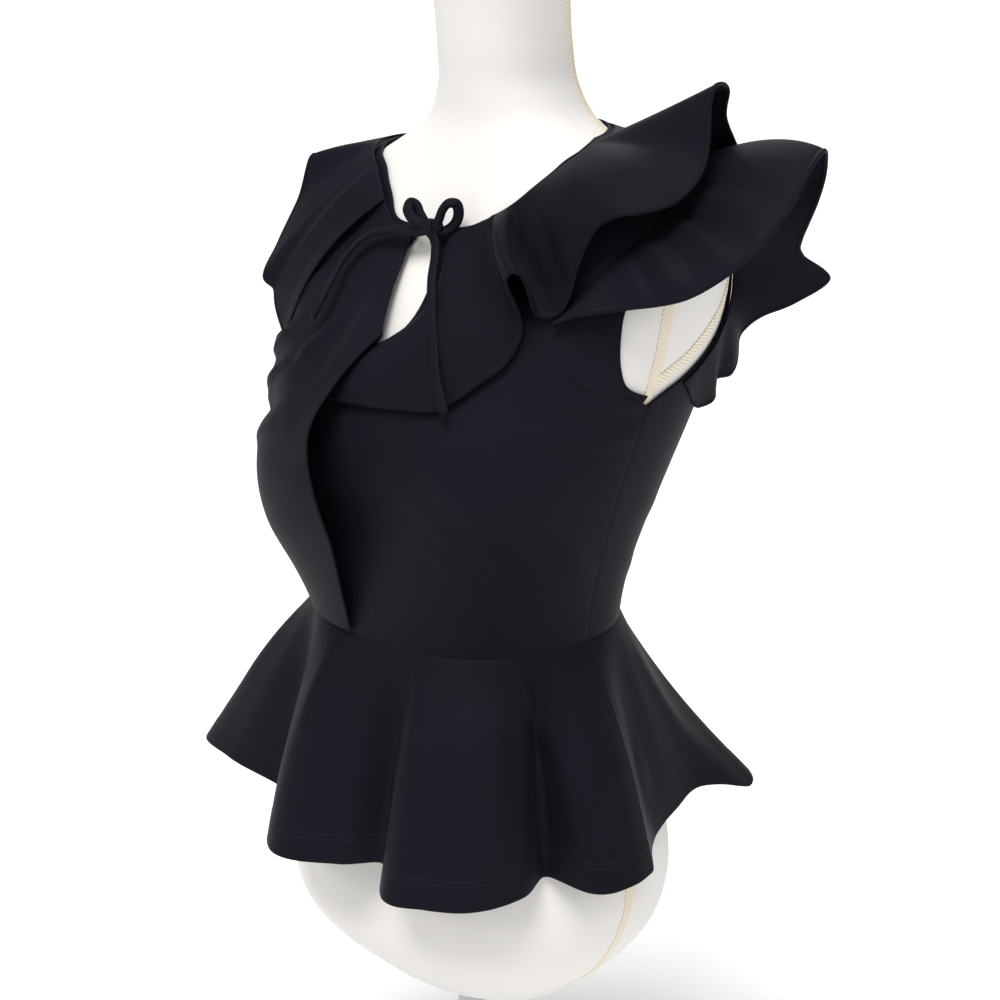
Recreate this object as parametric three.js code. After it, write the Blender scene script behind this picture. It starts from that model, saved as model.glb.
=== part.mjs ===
import * as THREE from 'three'

// Peplum top on a small armless dress form with a pole and a round foot.
// Millimetres, +Z up, the front of the form faces -Y and its left side is +X.
// Heights in the tables are measured from the waist, which stands at WAIST.

// Driving sizes
const WAIST = 500
const CLOTH = 1.6
const CLOTH_OFF_FORM = 1.3
const LAYER_GAP = 0.5
const SEAM_GAP = 0.4
const POLE_RADIUS = 11
const SOCKET_RADIUS = 11.5
const SOCKET_DEPTH = 60
const FOOT_RADIUS = 150
const FOOT_HEIGHT = 12
const TIE_WIDTH = 4.6
const SECTION_POWER = 2.25

// The form's sections from under the hip to the top of the neck
const FORM_SECTIONS = [
  { level: -305, half: 34, front: 26, back: 30, middle: 8 },
  { level: -294, half: 78, front: 60, back: 66, middle: 8 },
  { level: -272, half: 112, front: 88, back: 96, middle: 6 },
  { level: -240, half: 142, front: 112, back: 122, middle: 2 },
  { level: -200, half: 157, front: 116, back: 128, middle: 2 },
  { level: -150, half: 153, front: 110, back: 122, middle: 4 },
  { level: -100, half: 145, front: 104, back: 106, middle: 4 },
  { level: -50, half: 131, front: 99, back: 92, middle: 2 },
  { level: 0, half: 121, front: 98, back: 80, middle: 0 },
  { level: 40, half: 125, front: 102, back: 82, middle: 2 },
  { level: 80, half: 135, front: 110, back: 88, middle: 7 },
  { level: 120, half: 147, front: 121, back: 98, middle: 13 },
  { level: 155, half: 157, front: 124, back: 107, middle: 19 },
  { level: 190, half: 166, front: 118, back: 115, middle: 26 },
  { level: 220, half: 172, front: 109, back: 122, middle: 32 },
  { level: 250, half: 175, front: 98, back: 119, middle: 37 },
  { level: 275, half: 174, front: 84, back: 112, middle: 41 },
  { level: 295, half: 166, front: 73, back: 102, middle: 43 },
  { level: 310, half: 150, front: 66, back: 91, middle: 44 },
  { level: 325, half: 124, front: 59, back: 79, middle: 44 },
  { level: 340, half: 94, front: 53, back: 67, middle: 43 },
  { level: 357, half: 66, front: 48, back: 56, middle: 42 },
  { level: 380, half: 50, front: 46, back: 49, middle: 40 },
  { level: 410, half: 46, front: 46, back: 46, middle: 37 },
  { level: 440, half: 46, front: 46, back: 46, middle: 34 },
  { level: 470, half: 47, front: 47, back: 47, middle: 31 },
]
const CHEST_FULLNESS = { turn: 34, spread: 21, level: 120, tall: 46, out: 13 }

// Curve through the rows of a table, for one column
function column(rows, key, by, at) {
  const last = rows.length - 1
  const x = Math.min(Math.max(at, rows[0][by]), rows[last][by])
  let i = 0
  while (i < last - 1 && x > rows[i + 1][by]) i++
  const slope = (a) => (rows[a + 1][key] - rows[a][key]) / (rows[a + 1][by] - rows[a][by])
  const lean = (a) => {
    if (a === 0) return slope(0)
    if (a === last) return slope(last - 1)
    const before = rows[a][by] - rows[a - 1][by]
    const after = rows[a + 1][by] - rows[a][by]
    return (slope(a - 1) * after + slope(a) * before) / (before + after)
  }
  const h = rows[i + 1][by] - rows[i][by]
  const t = (x - rows[i][by]) / h
  return (1 + 2 * t) * (1 - t) ** 2 * rows[i][key] + t * (1 - t) ** 2 * h * lean(i)
    + t * t * (3 - 2 * t) * rows[i + 1][key] + t * t * (t - 1) * h * lean(i + 1)
}

const radians = THREE.MathUtils.degToRad
const powered = (value, power) => Math.sign(value) * Math.abs(value) ** power

// Point of the form's surface at a turn from the centre front and a level
function figure(turn, level) {
  const half = column(FORM_SECTIONS, 'half', 'level', level)
  const middle = column(FORM_SECTIONS, 'middle', 'level', level)
  const s = Math.sin(radians(turn))
  const c = Math.cos(radians(turn))
  const depth = column(FORM_SECTIONS, c > 0 ? 'front' : 'back', 'level', level)
  const side = THREE.MathUtils.euclideanModulo(turn + 180, 360) - 180
  const f = CHEST_FULLNESS
  const near = (a) => Math.exp(-(((a - f.turn) / f.spread) ** 2))
  const high = Math.exp(-(((level - f.level) / f.tall) ** 2))
  const bump = f.out * high * (near(side) + near(-side))
  const x = half * powered(s, 2 / SECTION_POWER) + bump * s
  const y = middle - depth * powered(c, 2 / SECTION_POWER) - bump * c
  return new THREE.Vector3(x, y, level)
}

function figureNormal(turn, level) {
  const around = figure(turn + 0.5, level).sub(figure(turn - 0.5, level))
  const up = figure(turn, level + 1).sub(figure(turn, level - 1))
  return around.cross(up).normalize()
}

function onFigure(turn, level, out) {
  return figure(turn, level).addScaledVector(figureNormal(turn, level), out)
}

// Moves a point out where it would come nearer to the form than the gap
function keepOff(point, gap) {
  for (let round = 0; round < 2; round++) {
    const level = Math.min(point.z, 468)
    const half = column(FORM_SECTIONS, 'half', 'level', level)
    const middle = column(FORM_SECTIONS, 'middle', 'level', level)
    const ahead = middle - point.y
    const depth = column(FORM_SECTIONS, ahead > 0 ? 'front' : 'back', 'level', level)
    const s = powered(point.x / half, SECTION_POWER / 2)
    const c = powered(ahead / depth, SECTION_POWER / 2)
    const turn = THREE.MathUtils.radToDeg(Math.atan2(s, c))
    const normal = figureNormal(turn, level)
    const away = point.clone().sub(figure(turn, level)).dot(normal)
    if (away < gap) point.addScaledVector(normal, gap - away)
  }
  return point
}

// Closed wall of cloth about a grid of middle points
function wall(grid, thick, closed = false) {
  const nu = grid.length
  const nv = grid[0].length
  const at = (i, j) => grid[closed ? (i + nu) % nu : Math.min(Math.max(i, 0), nu - 1)][
    Math.min(Math.max(j, 0), nv - 1)]
  const positions = []
  for (const side of [0.5, -0.5]) {
    for (let i = 0; i < nu; i++) {
      for (let j = 0; j < nv; j++) {
        const across = at(i + 1, j).clone().sub(at(i - 1, j))
        const along = at(i, j + 1).clone().sub(at(i, j - 1))
        const normal = across.cross(along).normalize()
        const p = at(i, j).clone().addScaledVector(normal, thick * side)
        positions.push(p.x, p.y, p.z)
      }
    }
  }
  const index = []
  const id = (i, j, side) => side * nu * nv + ((i + nu) % nu) * nv + j
  const quad = (a, b, c, d) => index.push(a, b, c, a, c, d)
  const columns = closed ? nu : nu - 1
  for (let i = 0; i < columns; i++) {
    for (let j = 0; j < nv - 1; j++) {
      quad(id(i, j, 0), id(i + 1, j, 0), id(i + 1, j + 1, 0), id(i, j + 1, 0))
      quad(id(i, j, 1), id(i, j + 1, 1), id(i + 1, j + 1, 1), id(i + 1, j, 1))
    }
    quad(id(i, 0, 0), id(i, 0, 1), id(i + 1, 0, 1), id(i + 1, 0, 0))
    quad(id(i, nv - 1, 0), id(i + 1, nv - 1, 0), id(i + 1, nv - 1, 1), id(i, nv - 1, 1))
  }
  for (let j = 0; j < nv - 1 && !closed; j++) {
    quad(id(0, j, 0), id(0, j + 1, 0), id(0, j + 1, 1), id(0, j, 1))
    quad(id(nu - 1, j, 0), id(nu - 1, j, 1), id(nu - 1, j + 1, 1), id(nu - 1, j + 1, 0))
  }
  return solid(positions, index)
}

// Buffer geometry that faces out
function solid(positions, index) {
  let volume = 0
  const p = (k) => new THREE.Vector3().fromArray(positions, index[k] * 3)
  for (let k = 0; k < index.length; k += 3) volume += p(k).dot(p(k + 1).cross(p(k + 2)))
  if (volume < 0) index.reverse()
  const geometry = new THREE.BufferGeometry()
  geometry.setAttribute('position', new THREE.Float32BufferAttribute(positions, 3))
  geometry.setIndex(index)
  geometry.computeVertexNormals()
  return geometry
}

// Closed body through rings, with a cap point at each end
function ringed(rings, first, last) {
  const n = rings[0].length
  const positions = []
  for (const ring of rings) for (const p of ring) positions.push(p.x, p.y, p.z)
  const low = rings.length * n
  positions.push(first.x, first.y, first.z, last.x, last.y, last.z)
  const index = []
  for (let r = 0; r < rings.length - 1; r++) {
    for (let i = 0; i < n; i++) {
      const a = r * n + i
      const b = r * n + (i + 1) % n
      index.push(a, b, b + n, a, b + n, a + n)
    }
  }
  for (let i = 0; i < n; i++) {
    index.push(low, (i + 1) % n, i)
    index.push(low + 1, low - n + i, low - n + (i + 1) % n)
  }
  return solid(positions, index)
}

// Colours and finishes
const black = new THREE.MeshStandardMaterial({ color: 0x1b1a1f, roughness: 0.85, metalness: 0 })
const linen = new THREE.MeshStandardMaterial({ color: 0xeeebe6, roughness: 0.9, metalness: 0 })
const metal = new THREE.MeshStandardMaterial({ color: 0x8d8d90, roughness: 0.35, metalness: 0.9 })

const part = new THREE.Group()
function add(name, geometry, material, level = WAIST) {
  const mesh = new THREE.Mesh(geometry, material)
  mesh.name = name
  mesh.position.set(0, 0, level)
  part.add(mesh)
}

// Dress form: one smooth body from the neck down, with a blind socket for the pole
const AROUND_FORM = 32
const FORM_BOTTOM = FORM_SECTIONS[0].level
const FORM_TOP = FORM_SECTIONS[FORM_SECTIONS.length - 1].level
const formLevels = [FORM_BOTTOM, -300, -294, -284, -272, -256, -240, -220]
for (let level = -200; level < 300; level += 25) formLevels.push(level)
formLevels.push(300, 310, 318, 326, 334, 342, 350, 358, 366, 376, 388, 402, 420, 445)
formLevels.push(FORM_TOP)
const ringAt = (make) => Array.from({ length: AROUND_FORM }, (_, i) => make(i * 360 / AROUND_FORM))
const socketRing = (level) => ringAt((turn) => new THREE.Vector3(
  SOCKET_RADIUS * Math.sin(radians(turn)), -SOCKET_RADIUS * Math.cos(radians(turn)), level))
const formRings = [socketRing(FORM_BOTTOM + SOCKET_DEPTH), socketRing(FORM_BOTTOM - 1)]
for (const level of formLevels) formRings.push(ringAt((turn) => figure(turn, level)))
const neckMiddle = FORM_SECTIONS[FORM_SECTIONS.length - 1].middle
formRings.push(ringAt((turn) => {
  const p = figure(turn, FORM_TOP)
  return new THREE.Vector3(p.x * 0.9, neckMiddle + (p.y - neckMiddle) * 0.9, FORM_TOP + 4)
}))
add('dress_form', ringed(formRings, new THREE.Vector3(0, 0, FORM_BOTTOM + SOCKET_DEPTH),
  new THREE.Vector3(0, neckMiddle, FORM_TOP + 5)), linen)

// Pole and round foot of the stand
const poleTop = WAIST + FORM_BOTTOM + SOCKET_DEPTH - SEAM_GAP
const poleLow = FOOT_HEIGHT + 6 + SEAM_GAP
const pole = new THREE.CylinderGeometry(POLE_RADIUS, POLE_RADIUS, poleTop - poleLow, 24)
pole.rotateX(Math.PI / 2)
add('stand_pole', pole, metal, (poleTop + poleLow) / 2)
const foot = new THREE.LatheGeometry([
  new THREE.Vector2(0, 0),
  new THREE.Vector2(FOOT_RADIUS - 2, 0),
  new THREE.Vector2(FOOT_RADIUS, 2),
  new THREE.Vector2(FOOT_RADIUS, FOOT_HEIGHT - 4),
  new THREE.Vector2(FOOT_RADIUS - 4, FOOT_HEIGHT),
  new THREE.Vector2(22, FOOT_HEIGHT),
  new THREE.Vector2(20, FOOT_HEIGHT + 6),
  new THREE.Vector2(0, FOOT_HEIGHT + 6),
], 36)
foot.rotateX(Math.PI / 2)
add('stand_foot', foot, metal, 0)

// Seam lines of the bodice, as turn from the centre front and level, on the left side
const waistSeam = (turn) => 7 - 7 * Math.cos(radians(turn))
const CENTRE_FRONT = [
  { turn: -6.4, level: 0 },
  { turn: -5.2, level: 40 },
  { turn: -3.8, level: 90 },
  { turn: -3.4, level: 140 },
  { turn: -2.4, level: 180 },
  { turn: -1, level: 212 },
]
const KEYHOLE_EDGE = [
  { turn: 1.2, level: 216 },
  { turn: 5.2, level: 230 },
  { turn: 8, level: 250 },
  { turn: 7.2, level: 262 },
  { turn: 4, level: 274 },
  { turn: 2, level: 287 },
]
const SIDE_SEAM = [
  { turn: 87, level: 7 },
  { turn: 85, level: 69 },
  { turn: 83, level: 115 },
  { turn: 82.3, level: 155 },
  { turn: 81.8, level: 183 },
]
const PLATE_SEAM = [
  { turn: 77.5, level: 187.5 },
  { turn: 63.3, level: 195 },
  { turn: 54.7, level: 201 },
  { turn: 47.7, level: 216 },
  { turn: 43.5, level: 236 },
  { turn: 45, level: 256 },
  { turn: 52, level: 275 },
  { turn: 66, level: 294 },
  { turn: 79, level: 306 },
  { turn: 90, level: 311 },
]
const ARMHOLE_EDGE = [
  { turn: 80.5, level: 189.5 },
  { turn: 76.5, level: 192.5 },
  { turn: 71.5, level: 198 },
  { turn: 67, level: 211 },
  { turn: 63.7, level: 230 },
  { turn: 62.5, level: 249 },
  { turn: 65, level: 268 },
  { turn: 72, level: 285 },
  { turn: 81, level: 296 },
  { turn: 90, level: 300 },
]
const BACK_ARMHOLE = [
  { turn: 83.5, level: 187 },
  { turn: 86.5, level: 200 },
  { turn: 91.5, level: 217 },
  { turn: 98, level: 237 },
  { turn: 105, level: 256 },
  { turn: 107, level: 273 },
  { turn: 101, level: 290 },
  { turn: 90, level: 300 },
]
const NECK_POINT_LEFT = { turn: 90, level: 348 }
const NECK_POINT_RIGHT = { turn: 90, level: 334 }
const NECKLINE = [
  { turn: 2, level: 287 },
  { turn: 9.8, level: 291.5 },
  { turn: 17.8, level: 302.6 },
  { turn: 28.9, level: 317.8 },
  { turn: 48.8, level: 333.5 },
  { turn: 70, level: 342 },
  { turn: 90, level: 348 },
]
const NECKLINE_RIGHT = [
  { turn: 2, level: 287 },
  { turn: 9.8, level: 289 },
  { turn: 17.8, level: 305 },
  { turn: 28.9, level: 319 },
  { turn: 48.8, level: 328 },
  { turn: 70, level: 332 },
  { turn: 90, level: 334 },
]
const BACK_NECKLINE = [
  { turn: 90, level: 348 },
  { turn: 120, level: 352 },
  { turn: 150, level: 354 },
  { turn: 180, level: 354 },
  { turn: 210, level: 352 },
  { turn: 240, level: 345 },
  { turn: 270, level: 334 },
]

const mirrored = (rows) => rows.map((row) => ({ turn: -row.turn, level: row.level }))
const moved = (rows, turn, level = 0) => rows.map((row) => (
  { turn: row.turn + turn, level: row.level + level }))

// Points along a seam line at even lengths
function along(rows, count) {
  const marks = [0]
  for (let i = 1; i < rows.length; i++) {
    const dt = (rows[i].turn - rows[i - 1].turn) * 2
    const dl = rows[i].level - rows[i - 1].level
    marks.push(marks[i - 1] + Math.hypot(dt, dl))
  }
  const table = rows.map((row, i) => ({ ...row, mark: marks[i] }))
  const total = marks[marks.length - 1]
  return Array.from({ length: count + 1 }, (_, k) => ({
    turn: column(table, 'turn', 'mark', total * k / count),
    level: column(table, 'level', 'mark', total * k / count),
  }))
}

// Several seam lines in a row, each cut into its own number of steps
function chain(...pieces) {
  const points = []
  for (const [rows, count] of pieces) {
    const next = along(rows, count)
    points.push(...(points.length ? next.slice(1) : next))
  }
  return points
}

// The same line moved aside by a small gap, in millimetres, to its left when walked along
function aside(points, gap) {
  return points.map((p, k) => {
    const a = points[Math.max(0, k - 1)]
    const b = points[Math.min(points.length - 1, k + 1)]
    const here = figure(p.turn, p.level)
    const perTurn = figure(p.turn + 1, p.level).distanceTo(here)
    const perLevel = figure(p.turn, p.level + 1).distanceTo(here)
    const across = (b.turn - a.turn) * perTurn
    const up = (b.level - a.level) * perLevel
    const length = Math.hypot(across, up)
    return { turn: p.turn - gap * up / length / perTurn, level: p.level + gap * across / length / perLevel }
  })
}

// A panel between its four seam lines, lying on the form
function panel(low, high, left, right, out) {
  const nu = low.length - 1
  const nv = left.length - 1
  const grid = []
  for (let i = 0; i <= nu; i++) {
    const u = i / nu
    const line = []
    for (let j = 0; j <= nv; j++) {
      const v = j / nv
      const mix = (key) => (1 - v) * low[i][key] + v * high[i][key]
        + (1 - u) * left[j][key] + u * right[j][key]
        - (1 - u) * (1 - v) * low[0][key] - u * (1 - v) * low[nu][key]
        - (1 - u) * v * high[0][key] - u * v * high[nu][key]
      line.push(onFigure(mix('turn'), mix('level'), out))
    }
    grid.push(line)
  }
  return wall(grid, CLOTH)
}

const waistLine = (from, to, count) => Array.from({ length: count + 1 }, (_, k) => {
  const turn = from + (to - from) * k / count
  return { turn, level: waistSeam(turn) }
})
const BODICE_OUT = CLOTH_OFF_FORM + CLOTH / 2
const HALF_SEAM = SEAM_GAP / 2
const sideSeam = along(SIDE_SEAM, 9)
const underarm = SIDE_SEAM[SIDE_SEAM.length - 1]
const plateSeam = along([underarm, ...PLATE_SEAM], 11)
const shoulderTip = PLATE_SEAM[PLATE_SEAM.length - 1]
const shoulderLeft = along([shoulderTip, NECK_POINT_LEFT], 2)
const shoulderRight = along([shoulderTip, NECK_POINT_RIGHT], 2)
const centreSeam = along(CENTRE_FRONT, 12)
const join = (...lines) => lines.reduce((all, line) => [...all, ...line.slice(1)])

// Front panels with the keyhole between them
for (const side of [1, -1]) {
  const own = (rows) => (side > 0 ? rows : mirrored(rows))
  const keyhole = along([{ turn: 0, level: 213 }, ...KEYHOLE_EDGE], 10)
  const left = [...aside(centreSeam, -side * HALF_SEAM).slice(0, 12), ...own(keyhole).slice(0, 11)]
  left[12] = { turn: left[11].turn + side * 0.6, level: 211.5 }
  const shoulderSeam = side > 0 ? shoulderLeft : shoulderRight
  const right = aside(own(join(sideSeam, plateSeam, shoulderSeam)), side * HALF_SEAM)
  left[0].level = waistSeam(left[0].turn)
  const low = waistLine(left[0].turn, right[0].turn, 12)
  right[0].level = low[12].level
  const high = along(own(side > 0 ? NECKLINE : NECKLINE_RIGHT), 12)
  high[0] = left[22]
  high[12] = right[22]
  const name = side > 0 ? 'bodice_front_left' : 'bodice_front_right'
  add(name, panel(low, high, left, right, BODICE_OUT), black)
}

// Small panel between the front and the armhole, one on each side
for (const side of [1, -1]) {
  const own = (rows) => (side > 0 ? rows : mirrored(rows))
  const inner = aside(plateSeam, -HALF_SEAM * 3).slice(1)
  const outer = along(ARMHOLE_EDGE, 10)
  inner[10].turn = 90 - 0.12
  outer[10].turn = 90 - 0.12
  const a = own(inner)
  const b = own(outer)
  const grid = a.map((p, k) => [0, 0.5, 1].map((v) => onFigure(
    p.turn + (b[k].turn - p.turn) * v, p.level + (b[k].level - p.level) * v, BODICE_OUT)))
  const name = side > 0 ? 'armhole_panel_left' : 'armhole_panel_right'
  add(name, wall(grid, CLOTH), black)
}

// Back of the bodice in one piece
const backArmhole = along([underarm, ...BACK_ARMHOLE], 9)
const shoulderEnd = along([BACK_ARMHOLE[BACK_ARMHOLE.length - 1], shoulderTip], 1)
const backSide = (shoulder) => aside(join(sideSeam, backArmhole, shoulderEnd, shoulder), -HALF_SEAM)
const backLeft = backSide(shoulderLeft)
const backRight = backSide(shoulderRight).map((p) => ({ turn: 360 - p.turn, level: p.level }))
const backSteps = backLeft.length - 1
const backLow = waistLine(backLeft[0].turn, backRight[0].turn, 22)
backLeft[0].level = backLow[0].level
backRight[0].level = backLow[22].level
const backHigh = along(BACK_NECKLINE, 22)
backHigh[0] = backLeft[backSteps]
backHigh[22] = backRight[backSteps]
add('bodice_back', panel(backLow, backHigh, backLeft, backRight, BODICE_OUT), black)

// Peplum: a row for each fold, with how far the hem reaches and how far it drops
const PEPLUM_FRONT = [
  { turn: -87, reach: 176, drop: 150, spring: 4 },
  { turn: -78, reach: 200, drop: 146, spring: 6 },
  { turn: -68, reach: 232, drop: 143, spring: 4 },
  { turn: -55, reach: 196, drop: 139, spring: 2 },
  { turn: -41, reach: 146, drop: 147, spring: 0 },
  { turn: -27, reach: 160, drop: 155, spring: 4 },
  { turn: -13, reach: 174, drop: 158, spring: 9 },
  { turn: 4, reach: 150, drop: 157, spring: 4 },
  { turn: 16, reach: 134, drop: 157, spring: 0 },
  { turn: 24, reach: 180, drop: 156, spring: 8 },
  { turn: 34, reach: 189, drop: 155, spring: 9 },
  { turn: 44, reach: 190, drop: 155, spring: 8 },
  { turn: 56, reach: 174, drop: 154, spring: 4 },
  { turn: 65, reach: 152, drop: 153, spring: 0 },
  { turn: 71, reach: 182, drop: 155, spring: 6 },
  { turn: 80, reach: 192, drop: 153, spring: 8 },
  { turn: 86.8, reach: 187, drop: 152, spring: 6 },
]
const PEPLUM_BACK = [
  { turn: 87.4, reach: 186, drop: 152, spring: 6 },
  { turn: 93, reach: 170, drop: 150, spring: 3 },
  { turn: 100, reach: 160, drop: 149, spring: 0 },
  { turn: 114, reach: 160, drop: 143, spring: 2 },
  { turn: 127, reach: 176, drop: 139, spring: 0 },
  { turn: 137, reach: 212, drop: 148, spring: -8 },
  { turn: 143, reach: 222, drop: 151, spring: -8 },
  { turn: 153, reach: 186, drop: 148, spring: 0 },
  { turn: 164, reach: 150, drop: 150, spring: 0 },
  { turn: 177, reach: 182, drop: 150, spring: 6 },
  { turn: 188, reach: 186, drop: 150, spring: 6 },
  { turn: 201, reach: 152, drop: 150, spring: 0 },
  { turn: 215, reach: 200, drop: 149, spring: 8 },
  { turn: 224, reach: 204, drop: 149, spring: 8 },
  { turn: 238, reach: 164, drop: 149, spring: 0 },
  { turn: 252, reach: 198, drop: 149, spring: 7 },
  { turn: 262, reach: 190, drop: 150, spring: 6 },
  { turn: 272.4, reach: 177, drop: 150, spring: 4 },
]
const PEPLUM_STEPS = 6
function peplum(rows, count) {
  const from = rows[0].turn
  const to = rows[rows.length - 1].turn
  const grid = []
  for (let i = 0; i <= count; i++) {
    const turn = from + (to - from) * i / count
    const get = (key) => column(rows, key, 'turn', turn)
    const top = onFigure(turn, waistSeam(turn) - SEAM_GAP * 2, BODICE_OUT)
    const hem = new THREE.Vector3(get('reach') * Math.sin(radians(turn)),
      4 - get('reach') * Math.cos(radians(turn)), -get('drop'))
    const out = new THREE.Vector3(Math.sin(radians(turn)), -Math.cos(radians(turn)), 0.4)
    const line = []
    for (let j = 0; j <= PEPLUM_STEPS; j++) {
      const v = j / PEPLUM_STEPS
      const p = top.clone().lerp(hem, v)
      p.addScaledVector(out, get('spring') * Math.sin(Math.PI * v))
      line.push(j === 0 ? p : keepOff(p, BODICE_OUT + 0.4))
    }
    grid.push(line)
  }
  return wall(grid, CLOTH)
}
add('peplum_front', peplum(PEPLUM_FRONT, 44), black)
add('peplum_back', peplum(PEPLUM_BACK, 44), black)

// Ruffles: a row for each fold, from the seam to the hem, with the lift between them
function ruffle(rows, count, steps, gap, edge = 0) {
  const table = rows.map((row, mark) => ({ ...row, mark }))
  const grid = []
  for (let i = 0; i <= count; i++) {
    const mark = (rows.length - 1) * i / count
    const get = (key) => column(table, key, 'mark', mark)
    const seam = onFigure(get('turn'), get('level'), gap)
    const hem = new THREE.Vector3(get('hemX'), get('hemY'), get('hemLevel'))
    const middle = seam.clone().add(hem).multiplyScalar(0.5)
    const up = figureNormal(get('turn'), Math.min(get('level'), 330))
    const lifted = keepOff(middle.clone(), gap + edge).addScaledVector(up, get('lift'))
    const line = []
    for (let j = 0; j <= steps; j++) {
      const v = j / steps
      const p = seam.clone().multiplyScalar((1 - v) * (1 - 2 * v))
      p.addScaledVector(lifted, 4 * v * (1 - v))
      p.addScaledVector(hem, v * (2 * v - 1))
      line.push(keepOff(p, gap + edge * Math.min(1, v * 2)))
    }
    grid.push(line)
  }
  return grid
}

const RUFFLE_OUT = CLOTH_OFF_FORM + CLOTH + LAYER_GAP + CLOTH / 2
const NECK_RUFFLE_LEFT = [
  { turn: -0.5, level: 211, hemX: -38, hemY: -106, hemLevel: 170, lift: 2 },
  { turn: 5.6, level: 229, hemX: 0, hemY: -108, hemLevel: 171, lift: 3 },
  { turn: 9, level: 249, hemX: 36, hemY: -104, hemLevel: 173, lift: 3 },
  { turn: 7, level: 268, hemX: 71, hemY: -96, hemLevel: 178, lift: 3 },
  { turn: 6, level: 284, hemX: 84, hemY: -88, hemLevel: 189, lift: 3 },
  { turn: 9, level: 289, hemX: 97, hemY: -79, hemLevel: 199, lift: 2 },
  { turn: 12, level: 293, hemX: 106, hemY: -70, hemLevel: 210, lift: 2 },
  { turn: 15, level: 297, hemX: 107, hemY: -59, hemLevel: 234, lift: 4 },
  { turn: 18, level: 301, hemX: 103, hemY: -70, hemLevel: 268, lift: 12 },
  { turn: 21, level: 305, hemX: 113, hemY: -54, hemLevel: 244, lift: 4 },
  { turn: 26, level: 312, hemX: 128, hemY: -45, hemLevel: 253, lift: 4 },
  { turn: 33, level: 320, hemX: 140, hemY: -43, hemLevel: 260, lift: 5 },
  { turn: 41, level: 327, hemX: 149, hemY: -38, hemLevel: 279, lift: 8 },
  { turn: 51, level: 333, hemX: 168, hemY: -30, hemLevel: 292, lift: 10 },
  { turn: 63, level: 338, hemX: 184, hemY: -12, hemLevel: 299, lift: 12 },
  { turn: 75, level: 342, hemX: 191, hemY: 11, hemLevel: 313, lift: 12 },
  { turn: 84, level: 345, hemX: 185, hemY: 30, hemLevel: 334, lift: 8 },
  { turn: 91, level: 346, hemX: 181, hemY: 41, hemLevel: 366, lift: 2 },
  { turn: 98, level: 347, hemX: 180, hemY: 49, hemLevel: 391, lift: -2 },
  { turn: 105, level: 348, hemX: 177, hemY: 62, hemLevel: 376, lift: 0 },
  { turn: 113, level: 349, hemX: 180, hemY: 84, hemLevel: 340, lift: 4 },
  { turn: 124, level: 350, hemX: 160, hemY: 118, hemLevel: 316, lift: 8 },
  { turn: 137, level: 350, hemX: 118, hemY: 142, hemLevel: 276, lift: 6 },
  { turn: 150, level: 350, hemX: 96, hemY: 176, hemLevel: 274, lift: 14 },
  { turn: 164, level: 350, hemX: 48, hemY: 164, hemLevel: 255, lift: 5 },
  { turn: 179.3, level: 350, hemX: 2, hemY: 178, hemLevel: 258, lift: 10 },
]
const NECK_RUFFLE_RIGHT = [
  { turn: 180.7, level: 350, hemX: -2, hemY: 178, hemLevel: 258, lift: 10 },
  { turn: 196, level: 349.5, hemX: -48, hemY: 164, hemLevel: 255, lift: 5 },
  { turn: 210, level: 348, hemX: -96, hemY: 176, hemLevel: 274, lift: 14 },
  { turn: 223, level: 345.5, hemX: -122, hemY: 146, hemLevel: 274, lift: 6 },
  { turn: 237, level: 342, hemX: -160, hemY: 128, hemLevel: 298, lift: 8 },
  { turn: 250, level: 337, hemX: -176, hemY: 92, hemLevel: 306, lift: 5 },
  { turn: 263, level: 332, hemX: -184, hemY: 60, hemLevel: 310, lift: 3 },
  { turn: 275, level: 331, hemX: -182, hemY: 32, hemLevel: 313, lift: 2 },
  { turn: 287, level: 330, hemX: -173, hemY: 10, hemLevel: 318, lift: 2 },
  { turn: 298, level: 329, hemX: -163, hemY: -6, hemLevel: 319, lift: 2 },
  { turn: 307, level: 327, hemX: -169, hemY: -14, hemLevel: 289, lift: 3 },
  { turn: 315, level: 324, hemX: -173, hemY: -32, hemLevel: 260, lift: 4 },
  { turn: 323, level: 321, hemX: -168, hemY: -55, hemLevel: 237, lift: 4 },
  { turn: 331, level: 316, hemX: -158, hemY: -54, hemLevel: 227, lift: 3 },
  { turn: 338, level: 308, hemX: -154, hemY: -60, hemLevel: 222, lift: 3 },
  { turn: 344, level: 298, hemX: -147, hemY: -64, hemLevel: 219, lift: 3 },
]
add('neck_ruffle_left', wall(ruffle(NECK_RUFFLE_LEFT, 58, 7, RUFFLE_OUT, 2.6), CLOTH), black)
add('neck_ruffle_right', wall(ruffle(NECK_RUFFLE_RIGHT, 32, 7, RUFFLE_OUT + 1.8, 3), CLOTH), black)

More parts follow.
